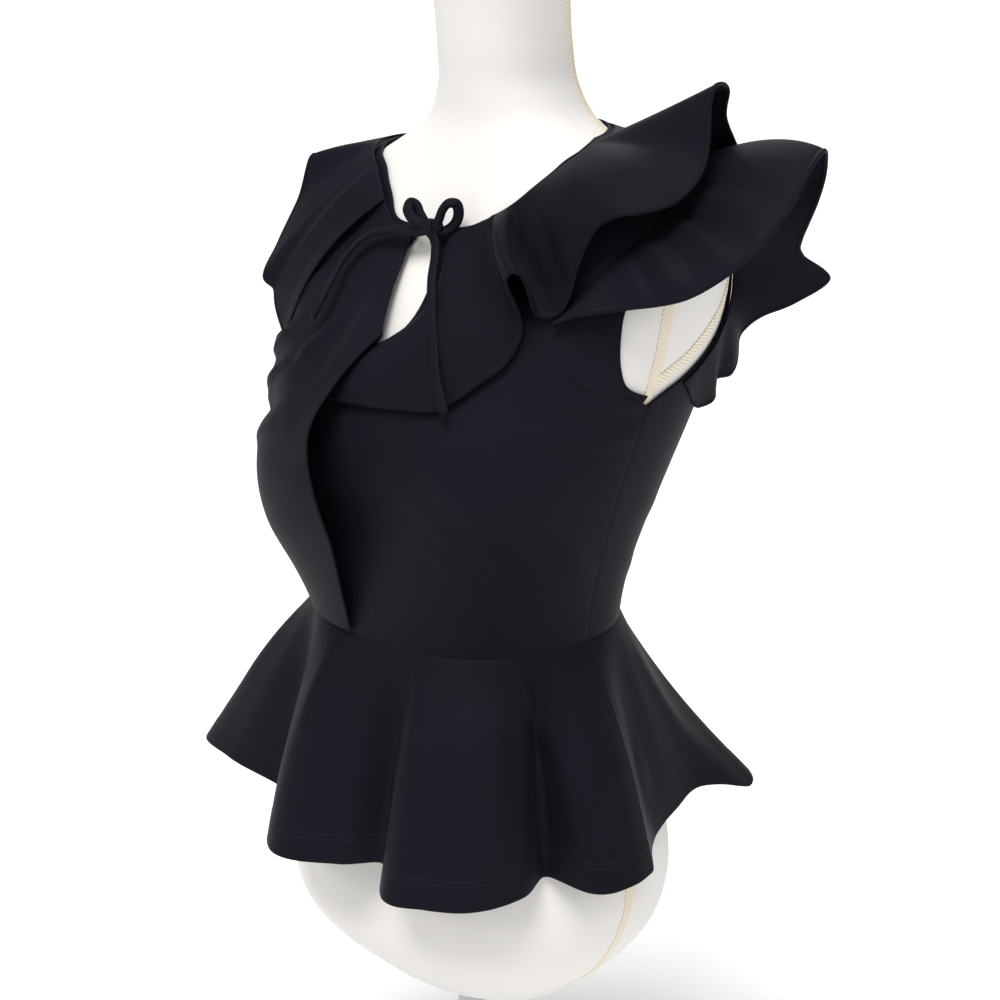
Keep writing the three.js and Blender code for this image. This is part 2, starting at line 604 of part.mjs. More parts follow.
// Lower ruffles, sewn on along the shoulder and the back of the armhole
const SHOULDER_RUFFLE_LEFT = [
  { turn: 43.5, level: 243, hemX: 128, hemY: -50, hemLevel: 241, lift: 0 },
  { turn: 47, level: 258, hemX: 143, hemY: -42, hemLevel: 247, lift: 1 },
  { turn: 53, level: 273, hemX: 169, hemY: -29, hemLevel: 253, lift: 3 },
  { turn: 61, level: 287, hemX: 196, hemY: -23, hemLevel: 259, lift: 8 },
  { turn: 70, level: 297, hemX: 220, hemY: -12, hemLevel: 269, lift: 10 },
  { turn: 79, level: 304, hemX: 243, hemY: 8, hemLevel: 292, lift: 10 },
  { turn: 87, level: 307, hemX: 251, hemY: 36, hemLevel: 319, lift: 11 },
  { turn: 95, level: 308, hemX: 246, hemY: 69, hemLevel: 343, lift: 17 },
  { turn: 103, level: 307, hemX: 237, hemY: 95, hemLevel: 352, lift: 20 },
  { turn: 109, level: 302, hemX: 222, hemY: 110, hemLevel: 316, lift: 12 },
  { turn: 113, level: 292, hemX: 196, hemY: 126, hemLevel: 279, lift: 4 },
  { turn: 115, level: 280, hemX: 192, hemY: 166, hemLevel: 250, lift: 6 },
  { turn: 114, level: 266, hemX: 168, hemY: 142, hemLevel: 224, lift: 4 },
  { turn: 111, level: 250, hemX: 166, hemY: 116, hemLevel: 204, lift: 3 },
  { turn: 105, level: 234, hemX: 162, hemY: 106, hemLevel: 184, lift: 3 },
  { turn: 98, level: 214, hemX: 160, hemY: 86, hemLevel: 166, lift: 2 },
  { turn: 91, level: 195, hemX: 167, hemY: 46, hemLevel: 174, lift: 1 },
]
const SHOULDER_RUFFLE_RIGHT = [
  { turn: -56, level: 262, hemX: -157, hemY: -36, hemLevel: 236, lift: 0 },
  { turn: -59, level: 273, hemX: -172, hemY: -24, hemLevel: 230, lift: 0 },
  { turn: -63, level: 283, hemX: -190, hemY: -8, hemLevel: 232, lift: 3 },
  { turn: -71, level: 291, hemX: -200, hemY: 12, hemLevel: 228, lift: 5 },
  { turn: -79, level: 296, hemX: -214, hemY: 30, hemLevel: 232, lift: 6 },
  { turn: -87, level: 299, hemX: -222, hemY: 52, hemLevel: 244, lift: 6 },
  { turn: -95, level: 299, hemX: -222, hemY: 80, hemLevel: 254, lift: 5 },
  { turn: -103, level: 297, hemX: -214, hemY: 104, hemLevel: 258, lift: 3 },
  { turn: -109, level: 292, hemX: -202, hemY: 124, hemLevel: 252, lift: 2 },
  { turn: -113, level: 283, hemX: -184, hemY: 136, hemLevel: 240, lift: 3 },
  { turn: -115, level: 273, hemX: -180, hemY: 154, hemLevel: 232, lift: 5 },
  { turn: -114, level: 260, hemX: -164, hemY: 138, hemLevel: 214, lift: 4 },
  { turn: -111, level: 246, hemX: -166, hemY: 116, hemLevel: 200, lift: 3 },
  { turn: -105, level: 232, hemX: -162, hemY: 106, hemLevel: 184, lift: 3 },
  { turn: -98, level: 214, hemX: -160, hemY: 86, hemLevel: 166, lift: 2 },
  { turn: -91, level: 195, hemX: -167, hemY: 46, hemLevel: 174, lift: 1 },
]
add('shoulder_ruffle_left', wall(ruffle(SHOULDER_RUFFLE_LEFT, 42, 5, RUFFLE_OUT), CLOTH), black)
add('shoulder_ruffle_right', wall(ruffle(SHOULDER_RUFFLE_RIGHT, 36, 5, RUFFLE_OUT), CLOTH), black)

// Long drape of the right front, a row for each fold from the side to its free edge.
// Each row has the turn, the level and the distance off the form at five marks.
const DRAPE = [
  { turn0: -38, level0: 320, turn1: -52, level1: 236, turn2: -62, level2: 165,
    turn3: -64, level3: 85, turn4: -66, off1: 0, off2: 0, off3: 2, off4: 0 },
  { turn0: -32, level0: 316, turn1: -44, level1: 228, turn2: -48, level2: 158,
    turn3: -48, level3: 82, turn4: -50, off1: 3, off2: 7, off3: 12, off4: 1 },
  { turn0: -22, level0: 306, turn1: -35, level1: 220, turn2: -36, level2: 146,
    turn3: -37, level3: 78, turn4: -39, off1: 5, off2: 6, off3: 20, off4: 2 },
  { turn0: -10, level0: 285.5, turn1: -22, level1: 210, turn2: -25, level2: 138,
    turn3: -25, level3: 80, turn4: -28, off1: 3, off2: 12, off3: 24, off4: 2 },
  { turn0: -4.2, level0: 280, turn1: -14, level1: 194, turn2: -14, level2: 136,
    turn3: -11, level3: 86, turn4: -17, off1: 3, off2: 20, off3: 25, off4: 2 },
  { turn0: -2, level0: 246, turn1: -11.5, level1: 172, turn2: -6.5, level2: 143,
    turn3: -1.5, level3: 88, turn4: -7.4, off1: 8, off2: 24, off3: 25, off4: 1 },
]
const DRAPE_MARKS = [0, 0.3, 0.52, 0.76, 1]
function drape(rows, across, down, gap) {
  const table = rows.map((row, mark) => ({ ...row, mark }))
  const grid = []
  for (let i = 0; i <= across; i++) {
    const mark = (rows.length - 1) * i / across
    const get = (key) => column(table, key, 'mark', mark)
    const knots = DRAPE_MARKS.map((at, k) => ({
      at,
      turn: get('turn' + k),
      level: k === 4 ? waistSeam(get('turn4')) + 1.5 : get('level' + k),
      off: k === 0 ? 0 : get('off' + k),
    }))
    const line = []
    for (let j = 0; j <= down; j++) {
      const v = j / down
      line.push(onFigure(column(knots, 'turn', 'at', v), column(knots, 'level', 'at', v),
        gap + Math.max(0, column(knots, 'off', 'at', v))))
    }
    grid.push(line)
  }
  return wall(grid, CLOTH)
}
add('front_drape', drape(DRAPE, 16, 17, RUFFLE_OUT), black)

// Tie: a knot, two loops and two tails of narrow binding
function cord(points, radius, sides, steps) {
  const shape = new THREE.Shape()
  for (let k = 0; k < sides; k++) {
    const a = 2 * Math.PI * k / sides
    if (k === 0) shape.moveTo(radius * Math.cos(a), radius * Math.sin(a))
    else shape.lineTo(radius * Math.cos(a), radius * Math.sin(a))
  }
  const path = new THREE.CatmullRomCurve3(points.map((p) => new THREE.Vector3(...p)))
  return new THREE.ExtrudeGeometry(shape, { steps, bevelEnabled: false, extrudePath: path })
}
const knotAt = new THREE.Vector3(12, -46.5, 290)
const knot = new THREE.SphereGeometry(5.4, 12, 8)
knot.scale(1.24, 0.95, 1)
knot.translate(knotAt.x, knotAt.y, knotAt.z)
add('tie_knot', knot, black)
const LOOP_LEFT = [[19, -44, 293], [23, -40, 299], [27, -37, 306], [31, -35, 309],
  [33, -34, 304], [29, -38, 296], [19.6, -44, 289.5]]
const LOOP_RIGHT = [[4.7, -48, 292], [0, -47, 299], [-5, -46, 306], [-8, -45, 310],
  [-9, -45, 305], [-5, -46, 297], [4.2, -48, 289]]
add('tie_loop_left', cord(LOOP_LEFT, 1.8, 8, 16), black)
add('tie_loop_right', cord(LOOP_RIGHT, 1.8, 8, 16), black)
const TAIL_LEFT = [[16, -52, 283.5], [22, -58, 275], [29, -68, 261], [38, -77.3, 245],
  [51, -88.3, 221], [64, -98.2, 198], [76, -103.2, 180]]
const TAIL_RIGHT = [[3.6, -52, 287.6], [-8, -53.5, 287], [-26, -52, 286], [-46, -55, 280], [-58, -64, 266],
  [-61, -75, 250], [-65, -83, 234], [-70, -88, 222]]
add('tie_tail_left', cord(TAIL_LEFT, TIE_WIDTH / 2, 8, 14), black)
add('tie_tail_right', cord(TAIL_RIGHT, TIE_WIDTH / 2, 8, 14), black)

export default part
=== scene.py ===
"""Black knit peplum top with ruffles and a neck tie, on a covered dress form and its stand."""

import math

import bpy
import numpy as np
from mathutils import Matrix, Vector


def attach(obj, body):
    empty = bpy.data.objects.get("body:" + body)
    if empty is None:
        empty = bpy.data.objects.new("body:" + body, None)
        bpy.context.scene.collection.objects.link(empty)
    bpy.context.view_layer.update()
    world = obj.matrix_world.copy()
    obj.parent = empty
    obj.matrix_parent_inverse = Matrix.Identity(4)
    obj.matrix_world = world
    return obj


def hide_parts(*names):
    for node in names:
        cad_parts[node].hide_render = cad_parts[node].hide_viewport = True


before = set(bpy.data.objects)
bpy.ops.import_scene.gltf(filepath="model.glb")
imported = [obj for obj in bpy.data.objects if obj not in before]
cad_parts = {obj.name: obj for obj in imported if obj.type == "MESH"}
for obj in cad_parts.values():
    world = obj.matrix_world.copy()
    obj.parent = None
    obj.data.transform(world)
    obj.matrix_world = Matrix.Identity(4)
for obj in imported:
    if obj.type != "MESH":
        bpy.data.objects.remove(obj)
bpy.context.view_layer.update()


# Camera: a portrait lens 1.4 m off the form's left front, a little above the form's top.
# It looks down 17 degrees and has no depth of field.
eye = (0.9967, -0.9967, 1.013)
off_front, pitch = math.radians(45), math.radians(17)
sight = Matrix.Rotation(math.radians(-0.906), 3, "Z")
ahead = sight @ Vector((
    -math.sin(off_front) * math.cos(pitch),
    math.cos(off_front) * math.cos(pitch),
    -math.sin(pitch),
))
right = sight @ Vector((math.cos(off_front), math.sin(off_front), 0))
above = right.cross(ahead)
camera_data = bpy.data.cameras.new("camera")
camera_data.lens = 71.82
camera_data.sensor_width = 36
camera = bpy.data.objects.new("camera", camera_data)
camera.matrix_world = Matrix((
    (right.x, above.x, -ahead.x, eye[0]),
    (right.y, above.y, -ahead.y, eye[1]),
    (right.z, above.z, -ahead.z, eye[2]),
    (0, 0, 0, 1),
))
bpy.context.scene.collection.objects.link(camera)
bpy.context.scene.camera = camera


# Figure: the form's surface, on which every panel is laid. Lengths are in mm, a level is
# counted from the waist, and a turn is in degrees from the front towards the wearer's left.
waist_height = 500
form_top = 470
section_power = 2.25
chest_turn, chest_spread, chest_level, chest_tall, chest_out = 34, 21, 120, 46, 13
mm_per_turn = 2.3
cloth_thick = 1.6
no_stitch = 50.0
form_sections = np.array([
    # level, half width, front, back, middle, in mm from the waist
    (-305, 34, 26, 30, 8), (-294, 78, 60, 66, 8), (-272, 112, 88, 96, 6),
    (-240, 142, 112, 122, 2), (-200, 157, 116, 128, 2), (-150, 153, 110, 122, 4),
    (-100, 145, 104, 106, 4), (-50, 131, 99, 92, 2), (0, 121, 98, 80, 0),
    (40, 125, 102, 82, 2), (80, 135, 110, 88, 7), (120, 147, 121, 98, 13),
    (155, 157, 124, 107, 19), (190, 166, 118, 115, 26), (220, 172, 109, 122, 32),
    (250, 175, 98, 119, 37), (275, 174, 84, 112, 41), (295, 166, 73, 102, 43),
    (310, 150, 66, 91, 44), (325, 124, 59, 79, 44), (340, 94, 53, 67, 43),
    (357, 66, 48, 56, 42), (380, 50, 46, 49, 40), (410, 46, 46, 46, 37),
    (440, 46, 46, 46, 34), (470, 47, 47, 47, 31),
], float)


def through(place, values, at):
    """Smooth curve through rows of values: a cubic between two rows, whose slope at each
    row is the mean of the slopes on both sides, weighted by the other side's length."""
    place, values = np.asarray(place, float), np.asarray(values, float)
    at = np.clip(at, place[0], place[-1])
    wide = (slice(None),) + (None,) * (values.ndim - 1)
    step = np.diff(place)
    slope = np.diff(values, axis=0) / step[wide]
    inner = (slope[:-1] * step[1:][wide] + slope[1:] * step[:-1][wide]) / (step[:-1] + step[1:])[wide]
    lean = np.concatenate([slope[:1], inner, slope[-1:]])
    i = np.clip(np.searchsorted(place, at) - 1, 0, len(step) - 1)
    grow = at.shape + (1,) * (values.ndim - 1)
    t, h = ((at - place[i]) / step[i]).reshape(grow), step[i].reshape(grow)
    return ((1 + 2 * t) * (1 - t) ** 2 * values[i] + t * (1 - t) ** 2 * h * lean[i]
            + t * t * (3 - 2 * t) * values[i + 1] + t * t * (t - 1) * h * lean[i + 1])


def figure(turn, level):
    """Surface of the form: at each level an oval that is squarer than an ellipse, deeper or
    shallower in front than behind, with a soft fullness on both sides of the chest."""
    turn, level = np.broadcast_arrays(np.asarray(turn, float), np.asarray(level, float))
    half, front, back, middle = np.moveaxis(through(form_sections[:, 0], form_sections[:, 1:], level), -1, 0)
    s, c = np.sin(np.radians(turn)), np.cos(np.radians(turn))
    side = np.abs((turn + 180) % 360 - 180)
    near = sum(np.exp(-((side + chest_turn * way) / chest_spread) ** 2) for way in (-1, 1))
    full = chest_out * np.exp(-((level - chest_level) / chest_tall) ** 2) * near
    x = half * np.sign(s) * np.abs(s) ** (2 / section_power) + full * s
    depth = np.where(c > 0, front, back)
    y = middle - depth * np.sign(c) * np.abs(c) ** (2 / section_power) - full * c
    return np.stack([x, y, level], axis=-1)


def unit(vectors):
    """Vectors of the same direction, one long."""
    return vectors / np.maximum(np.linalg.norm(vectors, axis=-1, keepdims=True), 1e-9)


def figure_out(turn, level):
    """Direction that leaves the form: across the way round and the way up."""
    around = figure(turn + 0.5, level) - figure(turn - 0.5, level)
    return unit(np.cross(around, figure(turn, level + 1) - figure(turn, level - 1)))


def on_figure(turn, level, out):
    """Point of the form's surface, moved straight out by a distance."""
    return figure(turn, level) + figure_out(turn, level) * np.asarray(out)[..., None]


def turn_at(points):
    """Turn and level of the form's surface beside a point."""
    level = np.minimum(points[..., 2], form_top - 2)
    half, front, back, middle = np.moveaxis(through(form_sections[:, 0], form_sections[:, 1:], level), -1, 0)
    forward = middle - points[..., 1]
    s = points[..., 0] / half
    c = forward / np.where(forward > 0, front, back)
    flat = section_power / 2
    return np.degrees(np.arctan2(np.sign(s) * np.abs(s) ** flat, np.sign(c) * np.abs(c) ** flat)), level


def keep_off(points, gap):
    """Points pushed straight out to a gap from the form wherever they come nearer."""
    for _ in range(2):
        turn, level = turn_at(points)
        out = figure_out(turn, level)
        away = np.sum((points - figure(turn, level)) * out, axis=-1)
        points = points + out * np.maximum(gap - away, 0)[..., None]
    return points


def linear(colour):
    """A colour given as sRGB hex, in linear light."""
    parts = [int(colour[i:i + 2], 16) / 255 for i in (1, 3, 5)]
    return tuple(p / 12.92 if p <= 0.04045 else ((p + 0.055) / 1.055) ** 2.4 for p in parts) + (1,)


def add_node(material, kind, links=(), **settings):
    """One shader node with its settings and with links from other sockets to its inputs."""
    node = material.node_tree.nodes.new(kind)
    for name, value in settings.items():
        if hasattr(node, name):
            setattr(node, name, value)
        else:
            node.inputs[name.replace("_", " ")].default_value = value
    for target, source in links:
        material.node_tree.links.new(source, node.inputs[target])
    return node


def new_material(name):
    """Empty material with its output."""
    material = bpy.data.materials.new(name)
    material.use_nodes = True
    material.node_tree.nodes.clear()
    return material, add_node(material, "ShaderNodeOutputMaterial")


# A wave texture of this scale repeats once in each mm of a piece's way.
wave_each_mm = 0.314

# Scuba knit: a smooth double knit of dyed polyester. The loops are too fine to see, so they
# are drawn 1.3 mm apart. It is matt, with a soft pile light along the folds.
knit, knit_end = new_material("black_scuba_knit")
knit_place = add_node(knit, "ShaderNodeTexCoord")
knit_seam = add_node(knit, "ShaderNodeAttribute", attribute_name="stitch")
knit_rows = add_node(knit, "ShaderNodeTexWave", [("Vector", knit_place.outputs["UV"])],
                     bands_direction="X", Scale=wave_each_mm / 1.3, Distortion=0.6, Detail=1.0)
knit_fuzz = add_node(knit, "ShaderNodeTexNoise", [("Vector", knit_place.outputs["Object"])],
                     Scale=900.0, Detail=3.0)
knit_cloud = add_node(knit, "ShaderNodeTexNoise", [("Vector", knit_place.outputs["Object"])],
                      Scale=9.0, Detail=4.0)
knit_dye = add_node(knit, "ShaderNodeValToRGB", [("Fac", knit_cloud.outputs["Fac"])])
knit_dye.color_ramp.elements[0].position = 0.35
knit_dye.color_ramp.elements[0].color = linear("#110f16")
knit_dye.color_ramp.elements[1].position = 0.65
knit_dye.color_ramp.elements[1].color = linear("#16131c")
knit_near = add_node(knit, "ShaderNodeMapRange", [("Value", knit_seam.outputs["Fac"])],
                     interpolation_type="SMOOTHSTEP")
for name, value in (("From Min", 0.25), ("From Max", 0.8), ("To Min", 1.0), ("To Max", 0.0)):
    knit_near.inputs[name].default_value = value
knit_dash = add_node(knit, "ShaderNodeTexWave", [("Vector", knit_place.outputs["UV"])],
                     bands_direction="X", Scale=wave_each_mm / 3.0)
knit_thread = add_node(knit, "ShaderNodeMath", [(0, knit_near.outputs["Result"]),
                                                (1, knit_dash.outputs["Fac"])], operation="MULTIPLY")
knit_colour = add_node(knit, "ShaderNodeMix", [(0, knit_thread.outputs["Value"]),
                                               (6, knit_dye.outputs["Color"])], data_type="RGBA")
knit_colour.inputs[7].default_value = linear("#1f1d24")
knit_height = add_node(knit, "ShaderNodeMath", [(0, knit_rows.outputs["Fac"]), (1, knit_fuzz.outputs["Fac"])],
                       operation="ADD")
knit_bump = add_node(knit, "ShaderNodeBump", [("Height", knit_height.outputs["Value"])],
                     Strength=0.13, Distance=0.0004)
knit_shader = add_node(knit, "ShaderNodeBsdfPrincipled", [("Base Color", knit_colour.outputs[2]),
                                                          ("Normal", knit_bump.outputs["Normal"])])
knit_shader.inputs["Roughness"].default_value = 0.58
knit_shader.inputs["IOR"].default_value = 1.46
knit_shader.inputs["Specular IOR Level"].default_value = 0.07
knit_shader.inputs["Specular Tint"].default_value = linear("#ece4f4")
knit_shader.inputs["Sheen Weight"].default_value = 0.02
knit_shader.inputs["Sheen Roughness"].default_value = 0.4
knit_shader.inputs["Sheen Tint"].default_value = linear("#d8d2e6")
knit.node_tree.links.new(knit_shader.outputs["BSDF"], knit_end.inputs["Surface"])


def piece(name, material, points, faces, uv=None, stitch=None):
    """Mesh object of points in mm from the waist, with its way in mm as UV map and its
    distance from the nearest stitch line as an attribute. It is turned if it faces inwards."""
    corners = np.array([f[:3] for f in faces])
    p, q, r = (points[corners[:, k]] for k in range(3))
    if np.sum(p * np.cross(q, r)) + sum(
            np.dot(points[f[0]], np.cross(points[f[2]], points[f[3]])) for f in faces if len(f) == 4) < 0:
        faces = [f[::-1] for f in faces]
    mesh = bpy.data.meshes.new(name)
    mesh.from_pydata(((points + (0, 0, waist_height)) / 1000).tolist(), [], faces)
    mesh.materials.append(material)
    mesh.polygons.foreach_set("use_smooth", np.ones(len(mesh.polygons), bool))
    index = np.empty(len(mesh.loops), int)
    mesh.loops.foreach_get("vertex_index", index)
    if uv is not None:
        mesh.uv_layers.new(name="way").data.foreach_set("uv", uv[index].astype(np.float32).ravel())
    if stitch is None:
        stitch = np.full(len(points), no_stitch)
    far = mesh.attributes.new("stitch", "FLOAT", "POINT")
    far.data.foreach_set("value", stitch.astype(np.float32))
    mesh.update()
    obj = bpy.data.objects.new(name, mesh)
    bpy.context.scene.collection.objects.link(obj)
    return obj


def rings(loops, uv=None):
    """Points and faces of a tube through closed loops, each end closed by a fan."""
    n, k = loops.shape[:2]
    points = loops.reshape(-1, 3)
    a = (np.arange(n - 1)[:, None] * k + np.arange(k)).ravel()
    b = (np.arange(n - 1)[:, None] * k + (np.arange(k) + 1) % k).ravel()
    faces = np.stack([a, b, b + k, a + k], axis=1).tolist()
    centres = np.stack([loops[0].mean(axis=0), loops[-1].mean(axis=0)])
    ring, last = np.arange(k), (n - 1) * k
    faces += np.stack([np.full(k, n * k), (ring + 1) % k, ring], axis=1).tolist()
    faces += np.stack([np.full(k, n * k + 1), last + ring, last + (ring + 1) % k], axis=1).tolist()
    if uv is not None:
        flat = uv.reshape(-1, 2)
        uv = np.concatenate([flat, flat[:1], flat[-1:]])
    return np.concatenate([points, centres]), faces, uv


def run_of(path, count):
    """Smooth curve through points, at even steps of the length of the straights between them."""
    path = np.asarray(path, float)
    mark = np.concatenate([[0], np.cumsum(np.linalg.norm(np.diff(path, axis=0), axis=1))])
    way = np.linspace(0, mark[-1], count)
    return way, through(mark, path, way)


def strap(path, width, thick, count, lean=0.0, sides=20):
    """Binding swept along a smooth curve through points: a flattened oval with a shallow
    groove beside one edge, that lies flat to the form and leans over by an angle on the way."""
    way, line = run_of(path, count)
    tangent = unit(np.gradient(line, axis=0))
    out = figure_out(*turn_at(line))
    across = unit(np.cross(tangent, out))
    out = np.cross(across, tangent)
    tip = np.radians(lean) * np.sin(np.pi * way / way[-1])[:, None]
    across, out = across * np.cos(tip) + out * np.sin(tip), out * np.cos(tip) - across * np.sin(tip)
    a = np.linspace(0, 2 * np.pi, sides, endpoint=False)
    wide = np.sign(np.cos(a)) * np.abs(np.cos(a)) ** 0.7 * width / 2
    high = np.sign(np.sin(a)) * np.abs(np.sin(a)) ** 0.7 * thick / 2
    high = high * (1 - 0.18 * np.exp(-((wide - 0.25 * width) / (0.09 * width)) ** 2))
    close = np.minimum(1, np.minimum(way, way[-1] - way) / (thick / 2) + 0.35)[:, None, None]
    oval = across[:, None] * wide[None, :, None] + out[:, None] * high[None, :, None]
    loops = line[:, None] + oval * close
    uv = np.stack(np.broadcast_arrays(wide[None, :], way[:, None]), axis=-1)
    return rings(loops, uv)


def joined(*parts):
    """Several closed bodies as one set of points, faces and ways."""
    points, faces, uvs, start = [], [], [], 0
    for part_points, part_faces, part_uv in parts:
        points.append(part_points)
        uvs.append(part_uv)
        faces += [[i + start for i in f] for f in part_faces]
        start += len(part_points)
    return np.concatenate(points), faces, np.concatenate(uvs)


def dressed(obj, *nodes, cover="black_knit"):
    """Puts a piece on the form's body in the place of its CAD nodes, which it hides. The cover argument is not
    used.
    """
    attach(obj, "root")
    if nodes:
        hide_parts(*nodes)
    return obj


# Tie: a narrow binding of the same knit, folded lengthwise and stitched flat, that closes
# the neck over the keyhole in a small bow. Two loops stand up and two tails hang down.
tail_left_path = [(17.9, -50.2, 283.5), (23.9, -56.2, 275), (30.9, -66.2, 261), (39.9, -75.5, 245),
                  (52.9, -86.5, 221), (65.9, -96.4, 198), (77.9, -101.4, 180)]
tail_right_path = [(3.6, -52, 287.6), (-8, -53.5, 287), (-26, -52, 286), (-46, -55, 280),
                   (-58, -64, 266), (-61, -75, 250), (-65, -83, 234), (-70, -88, 222)]
loop_left_path = [(15.5, -49.5, 290), (18.5, -47, 297.5), (21, -45.5, 304.5), (24, -43, 308.5),
                  (27.5, -39.5, 308), (28.5, -38, 302.5), (27, -39, 295.5), (22.5, -42.5, 290),
                  (17.5, -47.5, 288)]
loop_right_path = [(9, -48.5, 288.5), (2.5, -50.5, 293), (-4.5, -52, 297.5), (-8.5, -50.5, 302.5),
                   (-8.5, -47.5, 306), (-5.5, -46, 304.5), (-0.5, -47, 299), (5.5, -47.5, 293),
                   (11, -46.5, 288.5)]
tail_left = dressed(piece("tie_tail_left_binding", knit, *strap(tail_left_path, 6.8, 3.0, 90, 14)),
                    "tie_tail_left")
tail_right = dressed(piece("tie_tail_right_binding", knit, *strap(tail_right_path, 6.4, 3.0, 90, -18)),
                     "tie_tail_right")
loop_left = dressed(piece("tie_loop_left_binding", knit, *strap(loop_left_path, 7.4, 5.0, 70, 20)),
                    "tie_loop_left")
loop_right = dressed(piece("tie_loop_right_binding", knit, *strap(loop_right_path, 7.6, 5.0, 70, -20)),
                     "tie_loop_right")
knot_x, knot_y, knot_z = 12.4, -47.2, 289.6
knot_way, knot_round = np.meshgrid(np.linspace(0.02, np.pi - 0.02, 24),
                                   np.linspace(0, 2 * np.pi, 28, endpoint=False), indexing="ij")
knot_core = np.stack([knot_x + 7.8 * np.cos(knot_way), knot_y + 5.0 * np.sin(knot_way) * np.cos(knot_round),
                      knot_z + 6.4 * np.sin(knot_way) * np.sin(knot_round)], axis=-1)
band_way, band_round = np.meshgrid(np.linspace(0, 2 * np.pi, 49),
                                   np.linspace(0, 2 * np.pi, 16, endpoint=False), indexing="ij")
band_rise = 1.3 * np.abs(np.sin(band_round)) ** 0.7 * np.sign(np.sin(band_round))
knot_band = np.stack([
    12.8 + 3.5 * np.abs(np.cos(band_round)) ** 0.7 * np.sign(np.cos(band_round)) - 2.2 * np.sin(band_way),
    knot_y + (5.0 + band_rise) * np.cos(band_way),
    knot_z + (6.3 + band_rise) * np.sin(band_way)], axis=-1)
knot_points, knot_faces, knot_uv = joined(
    rings(knot_core, np.stack([knot_way * 6, knot_round * 4], axis=-1)),
    rings(knot_band, np.stack([band_round, band_way * 4], axis=-1)),
    strap([(12, -49, 290), (15.9, -50.4, 286), (19.2, -51.5, 281.4), (22.3, -54.4, 277.2)], 7.0, 3.3, 24),
    strap([(12, -49, 289.4), (6.5, -51.4, 288.2), (1, -52.4, 287.4), (-4, -53, 287.2)], 6.6, 3.3, 24),
    strap([(10, -47, 287), (17, -47.6, 291), (21, -46.4, 294.5)], 6.6, 5.2, 16),
    strap([(14, -47, 287), (7, -49, 291), (3, -48.6, 294)], 6.6, 5.2, 16))
tie_knot = dressed(piece("tie_knot_wrap", knit, knot_points, knot_faces, knot_uv), "tie_knot")
for tail, path, length, others in ((tail_left, tail_left_path, 0.131, (tie_knot, loop_left, loop_right)),
                                   (tail_right, tail_right_path, 0.125, ())):
    line = (run_of(path, 24)[1] + (0, 0, waist_height)) / 1000


# Dress form: a moulded body under a tight cover of white cotton, sewn from panels. Cream
# twill tape covers the cover's seams at the sides, round the arm plates and at the neck.
cover, cover_end = new_material("white_cotton_cover")
cover_place = add_node(cover, "ShaderNodeTexCoord")
cover_weave = add_node(cover, "ShaderNodeTexNoise", [("Vector", cover_place.outputs["Object"])],
                       Scale=1100.0, Detail=2.0)
cover_bump = add_node(cover, "ShaderNodeBump", [("Height", cover_weave.outputs["Fac"])],
                      Strength=0.12, Distance=0.0003)
cover_shader = add_node(cover, "ShaderNodeBsdfPrincipled", [("Normal", cover_bump.outputs["Normal"])])
cover_shader.inputs["Base Color"].default_value = linear("#dfdcd8")
cover_shader.inputs["Roughness"].default_value = 0.85
cover_shader.inputs["Sheen Weight"].default_value = 0.1
cover.node_tree.links.new(cover_shader.outputs["BSDF"], cover_end.inputs["Surface"])

form_levels = np.concatenate([[-305.0, -304, -302, -299], np.arange(-296, -240, 3), np.arange(-240, 300, 5),
                              np.arange(300, 400, 2.5), np.arange(400, 470, 5)])
form_turns = np.arange(0, 360, 2.25)
socket = np.stack([11.5 * np.sin(np.radians(form_turns)), -11.5 * np.cos(np.radians(form_turns))], axis=-1)
form_loops = [np.column_stack([socket, np.full(len(form_turns), level)]) for level in (-245, -305.5)]
form_loops += [figure(form_turns, np.full(len(form_turns), level)) for level in form_levels]
for level, part in ((470, 1.0), (472.5, 0.975), (474, 0.93), (475, 0.85), (475, 0.4)):
    ring = figure(form_turns, np.full(len(form_turns), float(form_top)))
    ring[:, :2] = (0, 31) + (ring[:, :2] - (0, 31)) * part
    ring[:, 2] = level
    form_loops.append(ring)
form_cover = dressed(piece("form_cover_body", cover, *rings(np.array(form_loops))), "dress_form",
                     cover="form_cover")

tape, tape_end = new_material("cream_twill_tape")
tape_place = add_node(tape, "ShaderNodeTexCoord")
tape_twill = add_node(tape, "ShaderNodeTexWave", [("Vector", tape_place.outputs["UV"])],
                      bands_direction="DIAGONAL", Scale=wave_each_mm / 1.6, Distortion=1.5, Detail=1.0)
tape_colour = add_node(tape, "ShaderNodeValToRGB", [("Fac", tape_twill.outputs["Fac"])])
tape_colour.color_ramp.elements[0].color = linear("#cfc3ab")
tape_colour.color_ramp.elements[1].color = linear("#efe7d6")
tape_bump = add_node(tape, "ShaderNodeBump", [("Height", tape_twill.outputs["Fac"])],
                     Strength=0.5, Distance=0.0003)
tape_shader = add_node(tape, "ShaderNodeBsdfPrincipled", [("Base Color", tape_colour.outputs["Color"]),
                                                          ("Normal", tape_bump.outputs["Normal"])])
tape_shader.inputs["Roughness"].default_value = 0.9
tape.node_tree.links.new(tape_shader.outputs["BSDF"], tape_end.inputs["Surface"])


def seam_steps(rows, count):
    """Even steps along a seam line through its rows, where a degree of turn counts as 2 mm."""
    rows = np.asarray(rows, float)
    mark = np.concatenate([[0], np.cumsum(np.hypot(np.diff(rows[:, 0]) * 2, np.diff(rows[:, 1])))])
    return through(mark, rows, np.linspace(0, mark[-1], count + 1))


